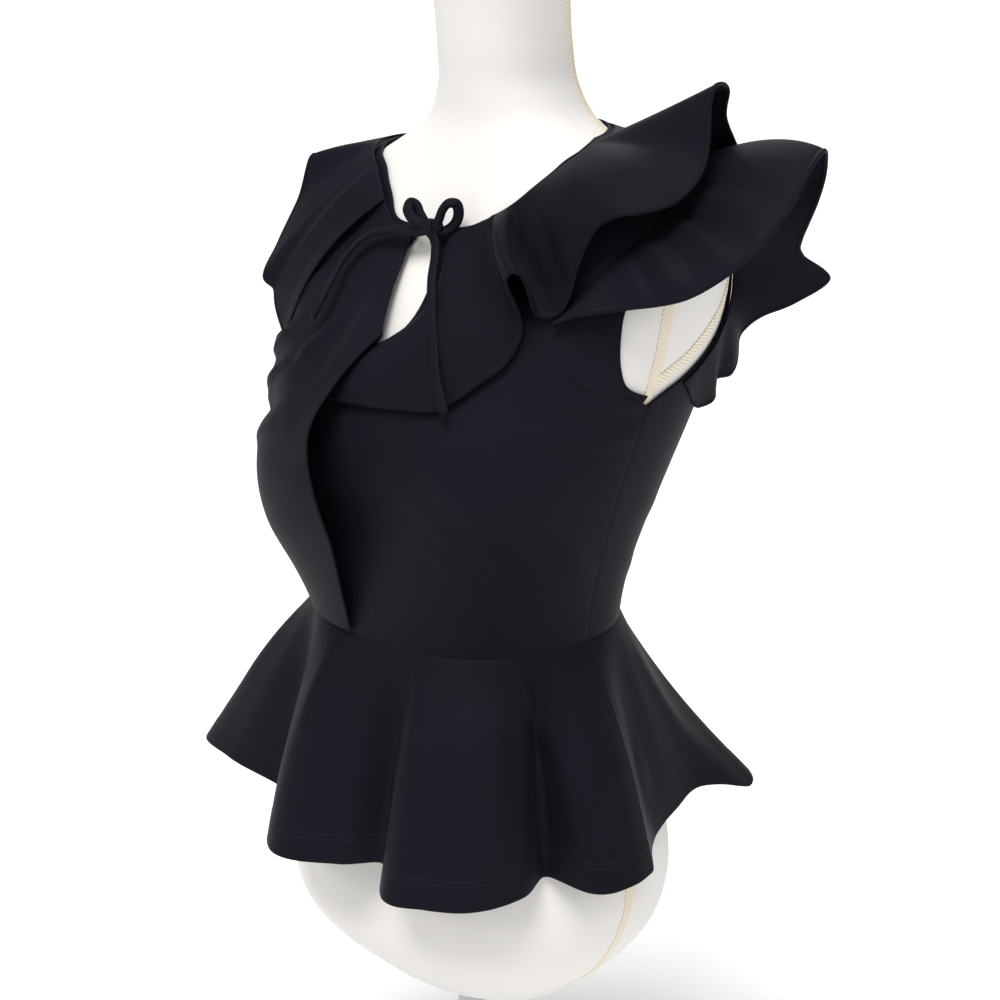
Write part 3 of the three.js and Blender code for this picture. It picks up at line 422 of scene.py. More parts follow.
def beside(points, gap):
    """A seam line moved aside along the surface, to its left when walked along."""
    step = np.arange(len(points))
    before, after = points[np.maximum(step - 1, 0)], points[np.minimum(step + 1, len(points) - 1)]
    turn, level = points[:, 0], points[:, 1]
    here = figure(turn, level)
    per_turn = np.linalg.norm(figure(turn + 1, level) - here, axis=-1)
    per_level = np.linalg.norm(figure(turn, level + 1) - here, axis=-1)
    across, up = (after - before)[:, 0] * per_turn, (after - before)[:, 1] * per_level
    length = np.maximum(np.hypot(across, up), 1e-6)
    return np.column_stack([turn - gap * up / length / per_turn, level + gap * across / length / per_level])


def shell(middle, thick=cloth_thick, edge=None):
    """Closed cloth round a grid of middle points: both faces stand half the thickness off
    along the normal, and half-round edges join them on all four sides. The way across and
    along the grid in mm is kept, and edge is the distance from a hem for each point."""
    across = np.gradient(middle, axis=0)
    along = np.gradient(middle, axis=1)
    normal = unit(np.cross(across, along))
    half = (np.broadcast_to(thick, middle.shape[:2]) / 2)[..., None]
    steps = [np.linalg.norm(np.diff(middle, axis=k), axis=-1) for k in (0, 1)]
    side_way = np.concatenate([np.zeros((1, middle.shape[1])), np.cumsum(steps[0], axis=0)]).mean(axis=1)
    down_way = np.concatenate([np.zeros((middle.shape[0], 1)), np.cumsum(steps[1], axis=1)], axis=1)
    way = np.stack(np.broadcast_arrays(side_way[:, None], down_way), axis=-1)
    far = np.full(middle.shape[:2], no_stitch) if edge is None else edge

    def round_edge(j, sign):
        """Three points of the half-round edge at a side of the grid."""
        angle = np.radians([45, 90, 135])[None, :, None]
        back = unit(along[:, j])[:, None] * sign
        return (middle[:, j][:, None] + normal[:, j][:, None] * np.cos(angle) * half[:, j][:, None]
                + back * np.sin(angle) * half[:, j][:, None])

    def there_and_back(grid):
        """Values of the grid for the front, an edge, the back and the other edge."""
        return np.concatenate([grid, np.repeat(grid[:, -1:], 3, axis=1), grid[:, ::-1],
                               np.repeat(grid[:, :1], 3, axis=1)], axis=1)

    front, behind = middle + normal * half, middle - normal * half
    loops = np.concatenate([front, round_edge(-1, 1), behind[:, ::-1], round_edge(0, -1)[:, ::-1]], axis=1)
    ways, fars, core = there_and_back(way), there_and_back(far), there_and_back(middle)
    ends = []
    for i, sign in ((0, -1), (-1, 1)):
        lead = unit(across[i])
        lead = there_and_back(lead[None])[0]
        rim = np.linalg.norm(loops[i] - core[i], axis=-1).mean()
        ends.append((core[i] + (loops[i] - core[i]) * 0.7 + lead * sign * rim * 0.7,
                     core[i] + (loops[i] - core[i]) * 0.15 + lead * sign * rim))
    stack = np.concatenate([[ends[0][1]], [ends[0][0]], loops, [ends[1][0]], [ends[1][1]]])
    ways = np.concatenate([ways[:1], ways[:1], ways, ways[-1:], ways[-1:]])
    fars = np.concatenate([fars[:1], fars[:1], fars, fars[-1:], fars[-1:]])
    n, k = stack.shape[:2]
    nv = middle.shape[1]
    a = (np.arange(n - 1)[:, None] * k + np.arange(k)).ravel()
    b = (np.arange(n - 1)[:, None] * k + (np.arange(k) + 1) % k).ravel()
    faces = np.stack([a, b, b + k, a + k], axis=1).tolist()
    j = np.arange(nv - 1)
    flap = np.stack([j, 2 * nv + 2 - j, 2 * nv + 1 - j, j + 1], axis=1)
    caps = [[nv - 1, nv + 3, nv + 2, nv], [nv, nv + 2, nv + 1], [0, 2 * nv + 5, 2 * nv + 3, 2 * nv + 2],
            [2 * nv + 5, 2 * nv + 4, 2 * nv + 3]]
    first = flap.tolist() + caps
    last = [[v + (n - 1) * k for v in f[::-1]] for f in first]
    return stack.reshape(-1, 3), faces + first + last, ways.reshape(-1, 2), fars.ravel()


def tape_strip(rows, count, width=8.0):
    """Tape laid on the form along a line, as a strip of even width with its hems turned in."""
    line = seam_steps(rows, count)
    strip = np.stack([beside(line, width * part) for part in (-0.5, -0.25, 0, 0.25, 0.5)], axis=1)
    points, faces, way, _ = shell(on_figure(strip[..., 0], strip[..., 1], np.full(strip.shape[:2], 0.2)), 0.8)
    return points, faces, way


tape_lines = [
    # turn and level of each point on the line, number of steps
    ([(86, -285), (88, -240), (90, -200), (91, -100), (90, 0), (86, 69), (83, 115), (82, 155), (82, 196)], 90),
    ([(82, 196), (90, 207), (100, 225), (110, 243), (119, 262), (124, 285), (118, 304), (100, 312)], 50),
    ([(82, 196), (80.8, 220), (79.5, 248), (80, 280), (87, 303), (100, 312)], 50),
    ([(119, 467), (119, 430), (118, 395), (116, 368), (110, 347), (102, 330), (100, 312)], 60),
]
tape_parts = [tape_strip([(turn * side, level) for turn, level in rows], count)
              for rows, count in tape_lines for side in (1, -1)]
form_tape = dressed(piece("form_seam_tape", tape, *joined(*tape_parts)), cover="form_cover")


# Stand: a satin steel tube that goes up into the form's socket, and a round steel foot
# with a turned boss, both spun on one axis and standing flat on the floor.
steel, steel_end = new_material("satin_steel")
steel_place = add_node(steel, "ShaderNodeTexCoord")
steel_grain = add_node(steel, "ShaderNodeTexNoise", [("Vector", steel_place.outputs["Object"])], Scale=60.0)
steel_rough = add_node(steel, "ShaderNodeMapRange", [("Value", steel_grain.outputs["Fac"])])
steel_rough.inputs["To Min"].default_value = 0.28
steel_rough.inputs["To Max"].default_value = 0.42
steel_shader = add_node(steel, "ShaderNodeBsdfPrincipled", [("Roughness", steel_rough.outputs["Result"])])
steel_shader.inputs["Base Color"].default_value = linear("#a3a3a6")
steel_shader.inputs["Metallic"].default_value = 1.0
steel.node_tree.links.new(steel_shader.outputs["BSDF"], steel_end.inputs["Surface"])


def turned(outline, sides=96):
    """Profile of radius and height spun round the upright axis, closed on it at both ends."""
    outline = np.asarray(outline, float)
    a = np.linspace(0, 2 * np.pi, sides, endpoint=False)
    loops = np.stack([outline[:, :1] * np.sin(a), -outline[:, :1] * np.cos(a),
                      np.repeat(outline[:, 1:] - waist_height, sides, axis=1)], axis=-1)
    return rings(loops)


corner = np.radians(np.linspace(0, 90, 7))
foot_outline = [(20, 0)] + [(148 + 2 * math.sin(a), 2 - 2 * math.cos(a)) for a in corner]
foot_outline += [(146 + 4 * math.cos(a), 8 + 4 * math.sin(a)) for a in corner]
foot_outline += [(24, 12), (22.6, 12.6), (22, 14), (21.6, 16), (20.8, 17.4), (19.6, 18), (4, 18)]
stand_foot = dressed(piece("stand_foot_disc", steel, *turned(foot_outline)), "stand_foot",
                     cover="stand_metal")
pole_outline = [(4, 18.4), (10, 18.4), (11, 19.4), (11, 60)] + [(11, z) for z in range(80, 254, 20)]
pole_outline += [(11, 253.6), (10, 254.6), (4, 254.6)]
stand_pole = dressed(piece("stand_pole_tube", steel, *turned(pole_outline)), "stand_pole",
                     cover="stand_metal")


# Bodice fronts: two close panels of scuba knit, sewn at the centre front up to a keyhole
# and to the arm plates, sides and shoulders. Drag lines run from the chest to the waist. The
# seam lines are given as turns and levels.
centre_front = [(-6.4, 0), (-5.2, 40), (-3.8, 90), (-3.4, 140), (-2.4, 180), (-1, 212)]
keyhole_edge = [(1.2, 216), (4.6, 230), (6, 250), (5.4, 262), (3.2, 274), (2, 287)]
side_line = [(87, 7), (85, 69), (83, 115), (82.3, 155), (81.8, 183)]
plate_line = [(77.5, 187.5), (63.3, 195), (54.7, 201), (47.7, 216), (43.5, 236), (45, 256), (52, 275),
              (66, 294), (79, 306), (90, 311)]
armhole_edge = [(80.5, 189.5), (76.5, 192.5), (71.5, 198), (67, 211), (63.7, 230), (62.5, 249), (65, 268),
                (72, 285), (81, 296), (90, 300)]
back_armhole = [(84.5, 187), (92, 197), (101, 210), (110, 226), (117, 242), (121.5, 258), (122, 275),
                (114, 292), (102, 299), (90, 300)]
neckline_left = [(2, 287), (9.8, 291.5), (17.8, 302.6), (28.9, 317.8), (48.8, 333.5), (70, 342), (90, 348)]
neckline_right = [(2, 287), (9.8, 289), (17.8, 305), (28.9, 319), (48.8, 328), (70, 332), (90, 334)]
back_neckline = [(90, 348), (120, 352), (150, 354), (180, 354), (210, 352), (240, 345), (270, 334)]
off_form = 2.1


def waist_seam(turn):
    """The waist seam dips in front: 7 mm less 7 mm times the cosine of the turn."""
    return 7 - 7 * np.cos(np.radians(turn))


def waist_steps(start, end, count):
    """Even steps of turn along the waist seam."""
    turn = np.linspace(start, end, count + 1)
    return np.column_stack([turn, waist_seam(turn)])


def panel(low, high, left, right):
    """Turns and levels between four seam lines: the blend of the lower and upper lines plus
    the blend of the side lines, less the blend of the four corners."""
    u = np.linspace(0, 1, len(low))[:, None, None]
    v = np.linspace(0, 1, len(left))[None, :, None]
    grid = ((1 - v) * low[:, None] + v * high[:, None] + (1 - u) * left[None] + u * right[None]
            - (1 - u) * (1 - v) * low[0] - u * (1 - v) * low[-1] - (1 - u) * v * high[0] - u * v * high[-1])
    return grid[..., 0], grid[..., 1]


def creases(turn, level, rows):
    """Height of soft ridges and hollows: along each line from one turn and level to another
    a bell of its width in mm, that fades in and out over the line's length."""
    height = np.zeros(np.broadcast(turn, level).shape)
    for turn0, level0, turn1, level1, rise, width in rows:
        ax, ay, bx, by = turn0 * mm_per_turn, level0, turn1 * mm_per_turn, level1
        px, py = turn * mm_per_turn - ax, level - ay
        t = np.clip((px * (bx - ax) + py * (by - ay)) / ((bx - ax) ** 2 + (by - ay) ** 2), 0, 1)
        away = np.hypot(px - t * (bx - ax), py - t * (by - ay))
        height += rise * np.exp(-(away / width) ** 2) * np.sin(np.pi * (0.06 + 0.88 * t)) ** 0.8
    return height


# A front has 48 and 40 steps up its middle, and 36, 44 and 8 up its side.
side_steps = seam_steps(side_line, 36)
plate_steps = seam_steps([side_line[-1]] + plate_line, 44)
shoulder_left = seam_steps([plate_line[-1], (90, 348)], 8)
shoulder_right = seam_steps([plate_line[-1], (90, 334)], 8)
centre_steps = seam_steps(centre_front, 48)
chest_drags = [
    # turn and level at both ends, height, width
    (23.3, 141, 71.7, 44, 2.6, 7), (35, 158, 80, 60, 2.0, 7), (14.6, 102, 57.5, 16.5, 2.4, 6),
    (11, 135, 40, 70, 1.2, 6), (45.5, 179, 80.9, 174, -1.4, 4.5), (48, 189, 78, 184, 1.9, 4),
    (42, 166, 79, 160, 2.2, 6), (28, 60, 62, 8, 1.3, 5), (60, 110, 82, 62, 1.2, 5),
]
right_drags = [(-t0, l0, -t1, l1, r, w) for t0, l0, t1, l1, r, w in chest_drags]
mirror = np.array([-1, 1])
for side, name, neck, shoulder, drags in (
        (1, "bodice_front_left", neckline_left, shoulder_left, chest_drags),
        (-1, "bodice_front_right", neckline_right, shoulder_right, right_drags)):
    facing = mirror if side < 0 else 1
    centre = beside(centre_steps, -side * 0.2)[:-1]
    edge = seam_steps([(centre[-1, 0] + side * 0.6, 211.5)] + [(side * t, l) for t, l in keyhole_edge], 40)
    left = np.concatenate([centre, edge])
    right_line = beside(np.concatenate([side_steps, plate_steps[1:], shoulder[1:]]) * facing, side * 0.2)
    left[0, 1] = waist_seam(left[0, 0])
    low = waist_steps(left[0, 0], right_line[0, 0], 80)
    right_line[0, 1] = low[-1, 1]
    high = seam_steps([(side * t, l) for t, l in neck], 80)
    high[0], high[-1] = left[-1], right_line[-1]
    turn, level = panel(low, high, left, right_line)
    out = off_form + creases(turn, level, drags).clip(-0.8, 4)
    front = dressed(piece(name + "_knit", knit, *shell(on_figure(turn, level, out))), name)


# Arm plates: a small curved knit panel between each front and its armhole, sewn on along a
# round seam and turned under at the armhole, which bares the cover of the form.
arm_inner = beside(plate_steps, -0.6)[1:]
arm_outer = seam_steps(armhole_edge, len(arm_inner) - 1)
arm_inner[-1, 0] = arm_outer[-1, 0] = 89.88
for side, name in ((1, "armhole_panel_left"), (-1, "armhole_panel_right")):
    v = np.linspace(0, 1, 15)[None, :, None]
    plate = (arm_inner[:, None] * (1 - v) + arm_outer[:, None] * v) * (mirror if side < 0 else 1)
    small = dressed(piece(name + "_knit", knit,
                          *shell(on_figure(plate[..., 0], plate[..., 1], off_form))), name)


# Bodice back: one panel from side seam to side seam, up to the shoulders and the back of
# the neck. Two soft hollows run in from the sides above the waist.
back_arm = seam_steps([side_line[-1]] + back_armhole, 36)
shoulder_end = seam_steps([back_armhole[-1], plate_line[-1]], 4)
back_drags = [(100, 60, 160, 24, 1.0, 7), (260, 60, 200, 24, 1.0, 7), (98, 110, 150, 70, 0.8, 8),
              (262, 110, 210, 70, 0.8, 8), (140, 300, 220, 300, 0.9, 9)]
back_sides = [beside(np.concatenate([side_steps, back_arm[1:], shoulder_end[1:], shoulder[1:]]), -0.2)
              for shoulder in (shoulder_left, shoulder_right)]
back_sides[1] = back_sides[1] * mirror + (360, 0)
back_low = waist_steps(back_sides[0][0, 0], back_sides[1][0, 0], 110)
back_sides[0][0, 1], back_sides[1][0, 1] = back_low[0, 1], back_low[-1, 1]
back_high = seam_steps(back_neckline, 110)
back_high[0], back_high[-1] = back_sides[0][-1], back_sides[1][-1]
turn, level = panel(back_low, back_high, back_sides[0], back_sides[1])
off = off_form + creases(turn, level, back_drags)
back = dressed(piece("bodice_back_knit", knit, *shell(on_figure(turn, level, off))), "bodice_back")


# Peplum: a front and a back cut on a curve, so that the hem springs into deep flutes. It is
# sewn into the waist seam and its hem is turned up 20 mm and stitched with two rows.
hem_middle = 4
peplum_front = [
    # turn, reach of the hem, drop, spring
    (-87, 176, 150, 4), (-78, 200, 146, 6), (-68, 232, 143, 4), (-55, 196, 139, 2), (-41, 146, 147, 0),
    (-27, 160, 155, 4), (-13, 174, 158, 9), (4, 150, 157, 4), (16, 134, 157, 0), (24, 180, 156, 8),
    (34, 189, 155, 9), (44, 190, 155, 8), (56, 174, 154, 4), (65, 152, 153, 0), (71, 182, 155, 6),
    (80, 192, 153, 8), (86.8, 187, 152, 6),
]
peplum_back = [
    (87.4, 186, 152, 6), (93, 170, 150, 3), (100, 160, 149, 0), (114, 160, 143, 2), (127, 176, 139, 0),
    (132, 192, 145, -4), (136, 207, 153, -7), (139, 216, 158, -8), (142, 220.5, 157, -8), (145, 218, 153, -6),
    (148, 211, 150, -4), (154, 186, 147, 0), (164, 150, 150, 0), (177, 182, 150, 6),
    (188, 186, 150, 6), (201, 152, 150, 0), (215, 200, 149, 8), (224, 204, 149, 8), (238, 164, 149, 0),
    (252, 198, 149, 7), (262, 190, 150, 6), (272.4, 177, 150, 4),
]


def hem_steps(length, rows, stitched):
    """Distance from the hem for each row of each column: even steps down to 30 mm or half
    the length, then close steps past the rows of stitches and round the edge."""
    share = np.linspace(1, 0, rows)[None, :]
    band = np.minimum(30, length / 2)[:, None]
    far = band + (length[:, None] - band) * share
    if stitched:
        spans = [(28, 23, 4), (22, 16, 13), (13, 4, 5), (3, 0, 7)]
    else:
        spans = [(27, 5, 9), (4, 0, 9)]
    near = np.concatenate([np.linspace(*span) for span in spans])
    return np.concatenate([far, near[None] * band / 30], axis=1)


def flared(rows, count):
    """Peplum: straight from the waist seam to the hem, sprung out half-way by half a sine,
    with the folds of the hem fading upwards, and kept off the form."""
    rows = np.asarray(rows, float)
    turn = np.linspace(rows[0, 0], rows[-1, 0], count)
    reach, drop, spring = np.moveaxis(through(rows[:, 0], rows[:, 1:], turn), -1, 0)
    s, c = np.sin(np.radians(turn)), np.cos(np.radians(turn))
    top = on_figure(turn, waist_seam(turn) - 0.8, np.full(count, off_form))
    hem = np.stack([reach * s, hem_middle - reach * c, -drop], axis=-1)
    from_hem = hem_steps(np.linalg.norm(top - hem, axis=-1), 34, True)
    v = (1 - from_hem / from_hem[:, :1])[..., None]
    out = np.stack([s, -c, np.full(count, 0.4)], axis=-1)[:, None]
    line = top[:, None] * (1 - v) + hem[:, None] * v + out * (spring[:, None, None] * np.sin(np.pi * v))
    return turn, from_hem, line, out


def stitched_hem(from_hem, first, second):
    """Distance in mm from the nearer of two rows of stitches above the hem."""
    return np.minimum(np.abs(from_hem - first), np.abs(from_hem - second))


front_folds = [
    # turn and level at both ends, height, width: short flutes that start under the seam
    (20, -8, 23.5, -60, 2.2, 5), (57, -6, 66, -60, 2.6, 5), (66, -22, 70.5, -150, 5.0, 5.5),
    (62, -30, 64.5, -150, -3.5, 6), (-14, -10, -13, -70, 1.6, 8), (-66, -20, -64, -90, 2.0, 9),
    (34, -60, 36, -150, -2.4, 9), (48, -20, 50, -120, 1.6, 8), (78, -30, 80, -150, -2.2, 9),
]
back_folds = [(96, -30, 100, -150, -2.0, 8), (120, -20, 132, -120, 2.0, 9), (180, -10, 182, -100, 2.0, 10),
              (220, -20, 220, -140, -2.0, 10), (256, -10, 258, -120, 2.0, 9)]
for name, rows, folds, flat, area in (("peplum_front", peplum_front, front_folds, (0.78, 0.36), 0.089),
                                      ("peplum_back", peplum_back, back_folds, (0.80, 0.36), 0.096)):
    turn, from_hem, line, out = flared(rows, 330)
    fold = creases(turn[:, None], line[..., 2], folds) * np.clip(-line[..., 2] / 25, 0, 1)
    line = line + out * fold[..., None]
    line[:, 1:] = keep_off(line[:, 1:], 2.5)
    groove = stitched_hem(from_hem, 17, 20.5)
    thick = cloth_thick - 0.35 * np.exp(-(groove / 0.8) ** 2) + 0.5 * (1 - np.clip((from_hem - 20) / 2, 0, 1))
    skirt = dressed(piece(name + "_knit", knit, *shell(line, thick, groove)), name)


# Neck ruffles: two ring-cut flounces of single knit, sewn into the neckline on both sides of
# the keyhole and meeting at the back. Their narrow rolled hems stand and turn as they fall.
neck_ruffle_left = [
    # turn and level of the seam, place of the hem, lift between them
    (-0.5, 211, -41, -107, 173, 2), (5.6, 229, -4, -107, 174, 3), (9, 249, 33, -103, 176, 3),
    (7.5, 266, 63, -98, 179, 3), (6, 281, 78, -91, 188, 3), (8.5, 288, 91, -81, 200, 2),
    (11.5, 292, 103, -70, 212, 2), (13.5, 295, 109, -63, 227, 3), (15, 297, 109, -60, 238, 4),
    (16, 299, 107, -65, 254, 6), (17.2, 300.5, 106, -72, 268, 9), (18.4, 302, 113, -74, 276, 11),
    (19.8, 304, 118, -69, 273, 9), (21.2, 306, 117, -61, 260, 3), (23, 308.5, 117, -55, 247, 0),
    (25.5, 311.5, 123, -49, 244, 1), (28, 314.5, 131, -45, 249, 3), (31.5, 318.5, 137, -42, 264, 5),
    (35, 322, 139, -39, 277, 7), (39, 325.5, 141, -33, 292, 9), (44, 329, 146, -27, 304, 9),
    (50, 332.5, 156, -22, 311, 9), (58, 336, 171, -12, 314, 10), (67, 339.5, 183, 5, 320, 11),
    (76, 342.5, 186, 26, 334, 9), (82, 344, 184, 37, 352, 6), (88, 345.5, 179, 44, 379, 1),
    (94, 346.4, 179, 49, 391, -1), (99, 347, 177, 59, 392, -1), (103, 347.5, 173, 71, 386, -1),
    (108, 348.3, 167, 77, 367, 1), (115, 349.2, 168, 93, 340, 4), (124, 350, 160, 118, 316, 8),
    (137, 350, 118, 142, 276, 6), (150, 350, 96, 176, 274, 14), (164, 350, 48, 164, 255, 5),
    (179.3, 350, 2, 178, 258, 10),
]
neck_ruffle_right = [
    # turn and level of the seam, place of the hem, lift between them
    (180.7, 350, -2, 178, 258, 10), (196, 349.5, -48, 164, 255, 5), (210, 348, -96, 176, 274, 14),
    (223, 345.5, -122, 146, 274, 6), (237, 342, -160, 128, 298, 8), (250, 337, -176, 92, 306, 5),
    (263, 332, -184, 60, 310, 3), (275, 331, -182, 32, 313, 2), (287, 330, -173, 10, 318, 2),
    (298, 329, -163, -6, 319, 2), (307, 327, -169, -14, 289, 3), (315, 324, -172, -32, 257, 4),
    (321, 321.5, -168, -51, 235, 4), (326, 319, -156, -51, 226, 3), (331, 315.5, -148, -57, 216, 3),
    (337, 309, -137, -62, 205, 3), (343, 299, -124, -67, 194, 3),
]


def flounce(rows, count, gap, edge, flutter, pleats=()):
    """Ruffle: each column is a bow from the seam on the form through a lifted middle to the
    hem, kept off the form. Small waves along the hem fade towards the seam, and each soft
    pleat is a bell across the columns, highest half-way down."""
    rows = np.asarray(rows, float)
    mark = np.linspace(0, len(rows) - 1, count)
    turn, level, hx, hy, hz, lift = np.moveaxis(through(np.arange(len(rows)), rows, mark), -1, 0)
    seam = on_figure(turn, level, np.full(count, gap))
    hem = np.stack([hx, hy, hz], axis=-1)
    up = figure_out(turn, np.minimum(level, 330))
    middle = keep_off((seam + hem) / 2, gap + edge) + up * lift[:, None]
    from_hem = hem_steps(np.linalg.norm(seam - hem, axis=-1), 30, False)
    v = (1 - from_hem / from_hem[:, :1])[..., None]
    line = ((1 - v) * (1 - 2 * v) * seam[:, None] + 4 * v * (1 - v) * middle[:, None]
            + v * (2 * v - 1) * hem[:, None])
    wave = np.sin(mark * 2.9 + 0.6) + 0.7 * np.sin(mark * 4.7 + 2.1)
    line = line + up[:, None] * (flutter * wave[:, None, None] * v ** 2)
    for centre, rise, width in pleats:
        bell = rise * np.exp(-((mark - centre) / width) ** 2)
        line = line + up[:, None] * (bell[:, None, None] * np.abs(np.sin(np.pi * v ** 0.8)) ** 0.7)
    room = (gap + edge * np.minimum(1, v * 2))[..., 0]
    return from_hem, keep_off(line, room)


def rolled(from_hem):
    """Thickness of the cloth with a small roll 1.3 mm in from its hem."""
    roll = np.exp(-((from_hem - 1.3) / 1.1) ** 2)
    return cloth_thick + 1.0 * roll - 0.3 * np.exp(-((from_hem - 3.6) / 0.8) ** 2)


# Each pleat has its row of the table, its height and its width in rows.
left_pleats = [(9.3, -1.6, 0.5), (7.2, 1.4, 0.6), (5.6, -1.0, 0.5), (13.2, -2.0, 0.5), (17.5, 1.6, 0.9),
               (24.6, -1.6, 0.7), (36, 1.5, 0.6)]
for name, rows, count, gap, edge, pleats, flat, area, on in (
        ("neck_ruffle_left", neck_ruffle_left, 420, 4.2, 2.6, left_pleats, (0.42, 0.36), 0.055,
         "bodice_front_left"),
        ("neck_ruffle_right", neck_ruffle_right, 260, 6.0, 3.0, [(13.5, 1.6, 0.6), (15.2, -1.2, 0.5)],
         (0.36, 0.28), 0.037, "bodice_back")):
    from_hem, line = flounce(rows, count, gap, edge, 0.25, pleats)
    ruffle = dressed(piece(name + "_knit", knit, *shell(line, rolled(from_hem))), name)


# Shoulder ruffles: a second, wider flounce on each side, sewn on over the shoulder and down
# the back of the armhole. It juts out over the arm plate and turns under behind.
shoulder_ruffle_left = [
    # turn and level of the seam, place of the hem, lift between them
    (43.5, 243, 128, -50, 241, 0), (47, 258, 143, -42, 247, 1), (53, 273, 169, -29, 253, 3),
    (61, 287, 196, -23, 259, 8), (70, 297, 220, -12, 269, 10), (79, 304, 243, 8, 292, 10),
    (87, 314, 251, 36, 319, 11), (95, 321, 244, 69, 343, 15), (104, 324, 235, 96, 350, 16),
    (113, 318, 225, 111, 336, 14), (119, 305, 213, 122, 313, 10), (117.2, 288, 195, 129, 283, 4),
    (119.4, 280, 190, 139, 270, 4), (121.4, 273, 196, 163, 252, 5), (122.1, 265, 179, 148, 234, 4),
    (121.5, 257, 164, 130, 225, 4), (119, 248, 156, 118, 215, 3), (116, 240, 157, 111, 202, 2),
    (112.5, 232, 159, 103, 187, 2), (109, 224, 155, 90, 184, 1), (105, 215, 160, 80, 172, 1),
    (99, 204, 159, 66, 169, 1), (93, 195, 158, 56, 176, 0),
]
shoulder_ruffle_right = [
    (-56, 262, -157, -36, 236, 0), (-59, 273, -172, -24, 230, 0), (-63, 283, -190, -8, 232, 3),
    (-71, 291, -200, 12, 228, 5), (-79, 296, -214, 30, 232, 6), (-87, 299, -222, 52, 244, 6),
    (-95, 299, -222, 80, 254, 5), (-103, 297, -214, 104, 258, 3), (-109, 292, -202, 124, 252, 2),
    (-113, 283, -184, 136, 240, 3), (-115, 273, -180, 154, 232, 5), (-114, 260, -164, 138, 214, 4),
    (-111, 246, -166, 116, 200, 3), (-105, 232, -162, 106, 184, 3), (-98, 214, -160, 86, 166, 2),
    (-91, 195, -167, 46, 174, 1),
]
arm_pleats = [(2.9, -2.6, 0.22), (3.45, 2.2, 0.28), (4.0, -1.8, 0.22), (4.6, 2.8, 0.24), (5.05, -3.0, 0.22),
              (5.65, 2.6, 0.28), (6.2, -2.0, 0.25)]
for name, rows, count, pleats, flat, area in (
        ("shoulder_ruffle_left", shoulder_ruffle_left, 340, arm_pleats, (0.32, 0.24), 0.028),
        ("shoulder_ruffle_right", shoulder_ruffle_right, 280, arm_pleats, (0.28, 0.20), 0.020)):
    from_hem, line = flounce(rows, count, 3.8, 0, 0.5, pleats)
    ruffle = dressed(piece(name + "_knit", knit, *shell(line, rolled(from_hem))), name)


# Front drape: a long loose piece of the same knit over the right front, gathered into the
# neckline and caught in the waist seam. Its free edge falls past the keyhole.
drape_marks = np.array([0, 0.3, 0.52, 0.76, 1])
drape_folds = np.array([
    # turn, level and distance off the bodice at the five marks from the neck to the waist
    [(-38, 320, 0), (-52, 236, 0), (-62, 165, 0), (-64, 85, 2), (-66, 0, 0)],
    [(-32, 316, 0), (-44, 228, 3), (-48, 158, 6), (-48, 82, 6), (-50, 0, 1)],
    [(-22, 306, 0), (-35, 220, 5), (-36, 146, 6), (-37, 78, 20), (-39, 0, 2)],
    [(-10, 285.5, 0), (-22, 210, 3), (-25, 138, 12), (-25, 80, 24), (-28, 0, 2)],
    [(-3.4, 280, 0), (-10.5, 196, 4), (-14, 136, 20), (-11, 86, 25), (-17, 0, 2)],
    [(0.2, 216, 5), (-5.2, 176, 14), (-6.5, 143, 24), (-1.5, 88, 25), (-7.4, 0, 1)],
], float)
drape_folds[:, 4, 1] = waist_seam(drape_folds[:, 4, 0]) + 1.5
drape_creases = [
    # turn and level at both ends, height, width
    (-10.3, 228, -20.3, 194, -2.2, 3), (-20.3, 194, -46, 160, -2.4, 3.2), (-8, 236, -26, 184, 1.8, 4),
    (-28.6, 252, -41, 228, -2.2, 3), (-26, 246, -40, 222, 1.6, 4), (-3.4, 247, -12, 168, 2.6, 6),
    (-14, 214, -30, 176, 1.6, 4), (-22, 272, -46, 226, 1.4, 5), (-18, 250, -30, 222, 1.2, 4),
    (-36, 214, -56, 188, -3.0, 5), (-34, 202, -62, 172, 7.0, 5.5), (-28, 160, -60, 127, -4.5, 6),
    (-30, 182, -60, 147, 3.4, 5), (-28, 142, -60, 110, 2.4, 6), (-36, 250, -50, 215, -1.6, 4),
]
across = np.linspace(0, 5, 110)
down = np.linspace(0, 1, 120)
drape_grid = through(drape_marks, np.moveaxis(through(np.arange(6), drape_folds, across), 1, 0), down)
turn, level, off = np.moveaxis(np.swapaxes(drape_grid, 0, 1), -1, 0)
pinned = np.clip(np.minimum(down / 0.12, (1 - down) / 0.12), 0, 1)[None]
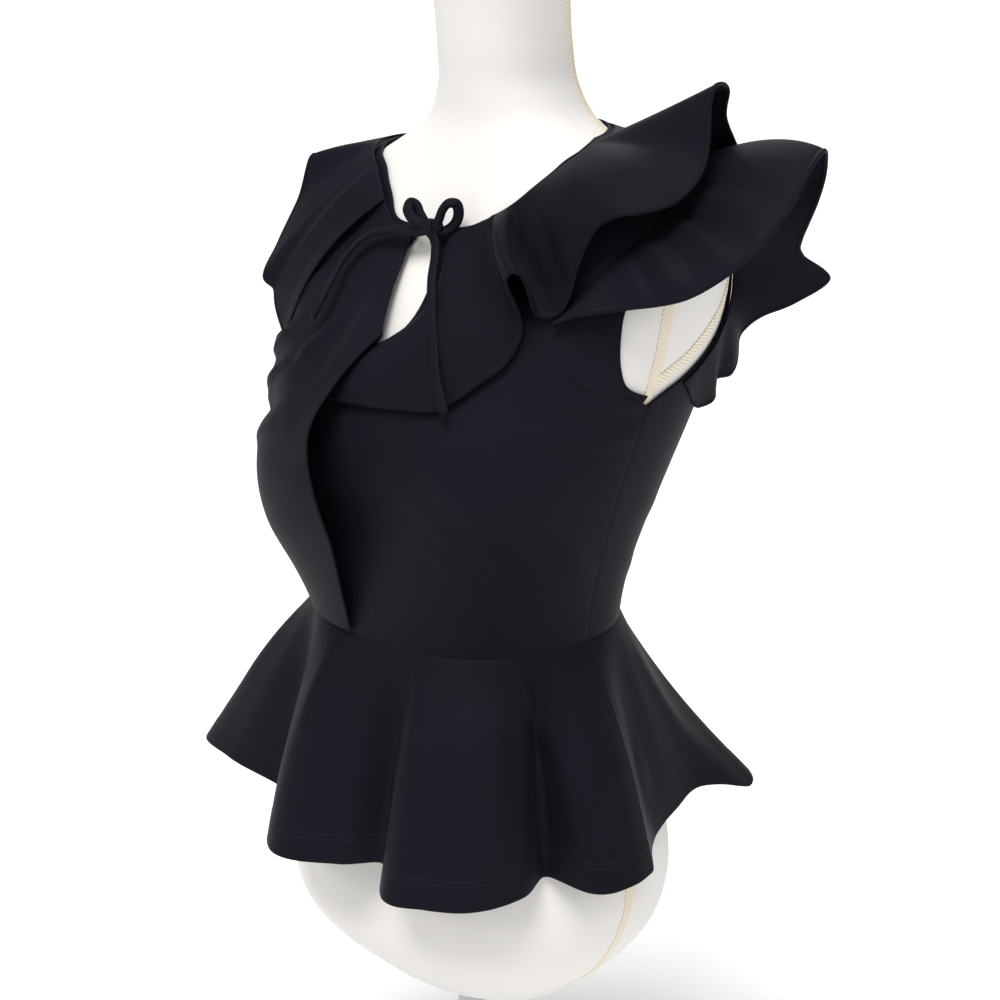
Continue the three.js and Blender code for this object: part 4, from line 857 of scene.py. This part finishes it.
off = 4.2 + off.clip(0) + (creases(turn, level, drape_creases) * pinned).clip(-off.clip(0) - 0.3, 4)
drape = dressed(piece("front_drape_knit", knit, *shell(on_figure(turn, level, off))), "front_drape")


# Studio: a plain white floor in a pale room. A wide soft light falls from nearly overhead, a
# little in front of the form. Weak lamps stand in front, behind and at the form's left.
floor_mesh = bpy.data.meshes.new("floor")
floor_mesh.from_pydata([(-60, -60, 0), (60, -60, 0), (60, 60, 0), (-60, 60, 0)], [], [(0, 1, 2, 3)])
floor = bpy.data.objects.new("floor", floor_mesh)
bpy.context.scene.collection.objects.link(floor)
paper, paper_end = new_material("white_paper")
paper_shader = add_node(paper, "ShaderNodeBsdfPrincipled")
paper_shader.inputs["Base Color"].default_value = linear("#fafafa")
paper_shader.inputs["Roughness"].default_value = 0.9
paper.node_tree.links.new(paper_shader.outputs["BSDF"], paper_end.inputs["Surface"])
floor_mesh.materials.append(paper)
sun_data = bpy.data.lights.new("window", "SUN")
sun_data.energy = 3.2
sun_data.angle = math.radians(34)
window = bpy.data.objects.new("window", sun_data)
window.matrix_world = Vector((-0.14, 0.42, -1.2)).to_track_quat("-Z", "Y").to_matrix().to_4x4()
bpy.context.scene.collection.objects.link(window)
for name, place, aim, size, power in (
        ("key", (-1.1, -2.2, 2.2), (0, 0, 0.65), 0.9, 8), ("back", (-1.5, 1.7, 2.3), (0, 0, 0.7), 1.2, 13),
        ("side", (2.2, -0.6, 1.5), (0, 0, 0.6), 1.0, 7)):
    lamp = bpy.data.lights.new(name, "AREA")
    lamp.size = size
    lamp.energy = power
    light = bpy.data.objects.new(name, lamp)
    toward = Vector(aim) - Vector(place)
    light.matrix_world = Matrix.Translation(place) @ toward.to_track_quat("-Z", "Y").to_matrix().to_4x4()
    bpy.context.scene.collection.objects.link(light)
world = bpy.data.worlds.new("room")
world.use_nodes = True
world.node_tree.nodes["Background"].inputs["Color"].default_value = (1, 1, 1, 1)
world.node_tree.nodes["Background"].inputs["Strength"].default_value = 0.35
bpy.context.scene.world = world
bpy.context.scene.view_settings.view_transform = "Standard"
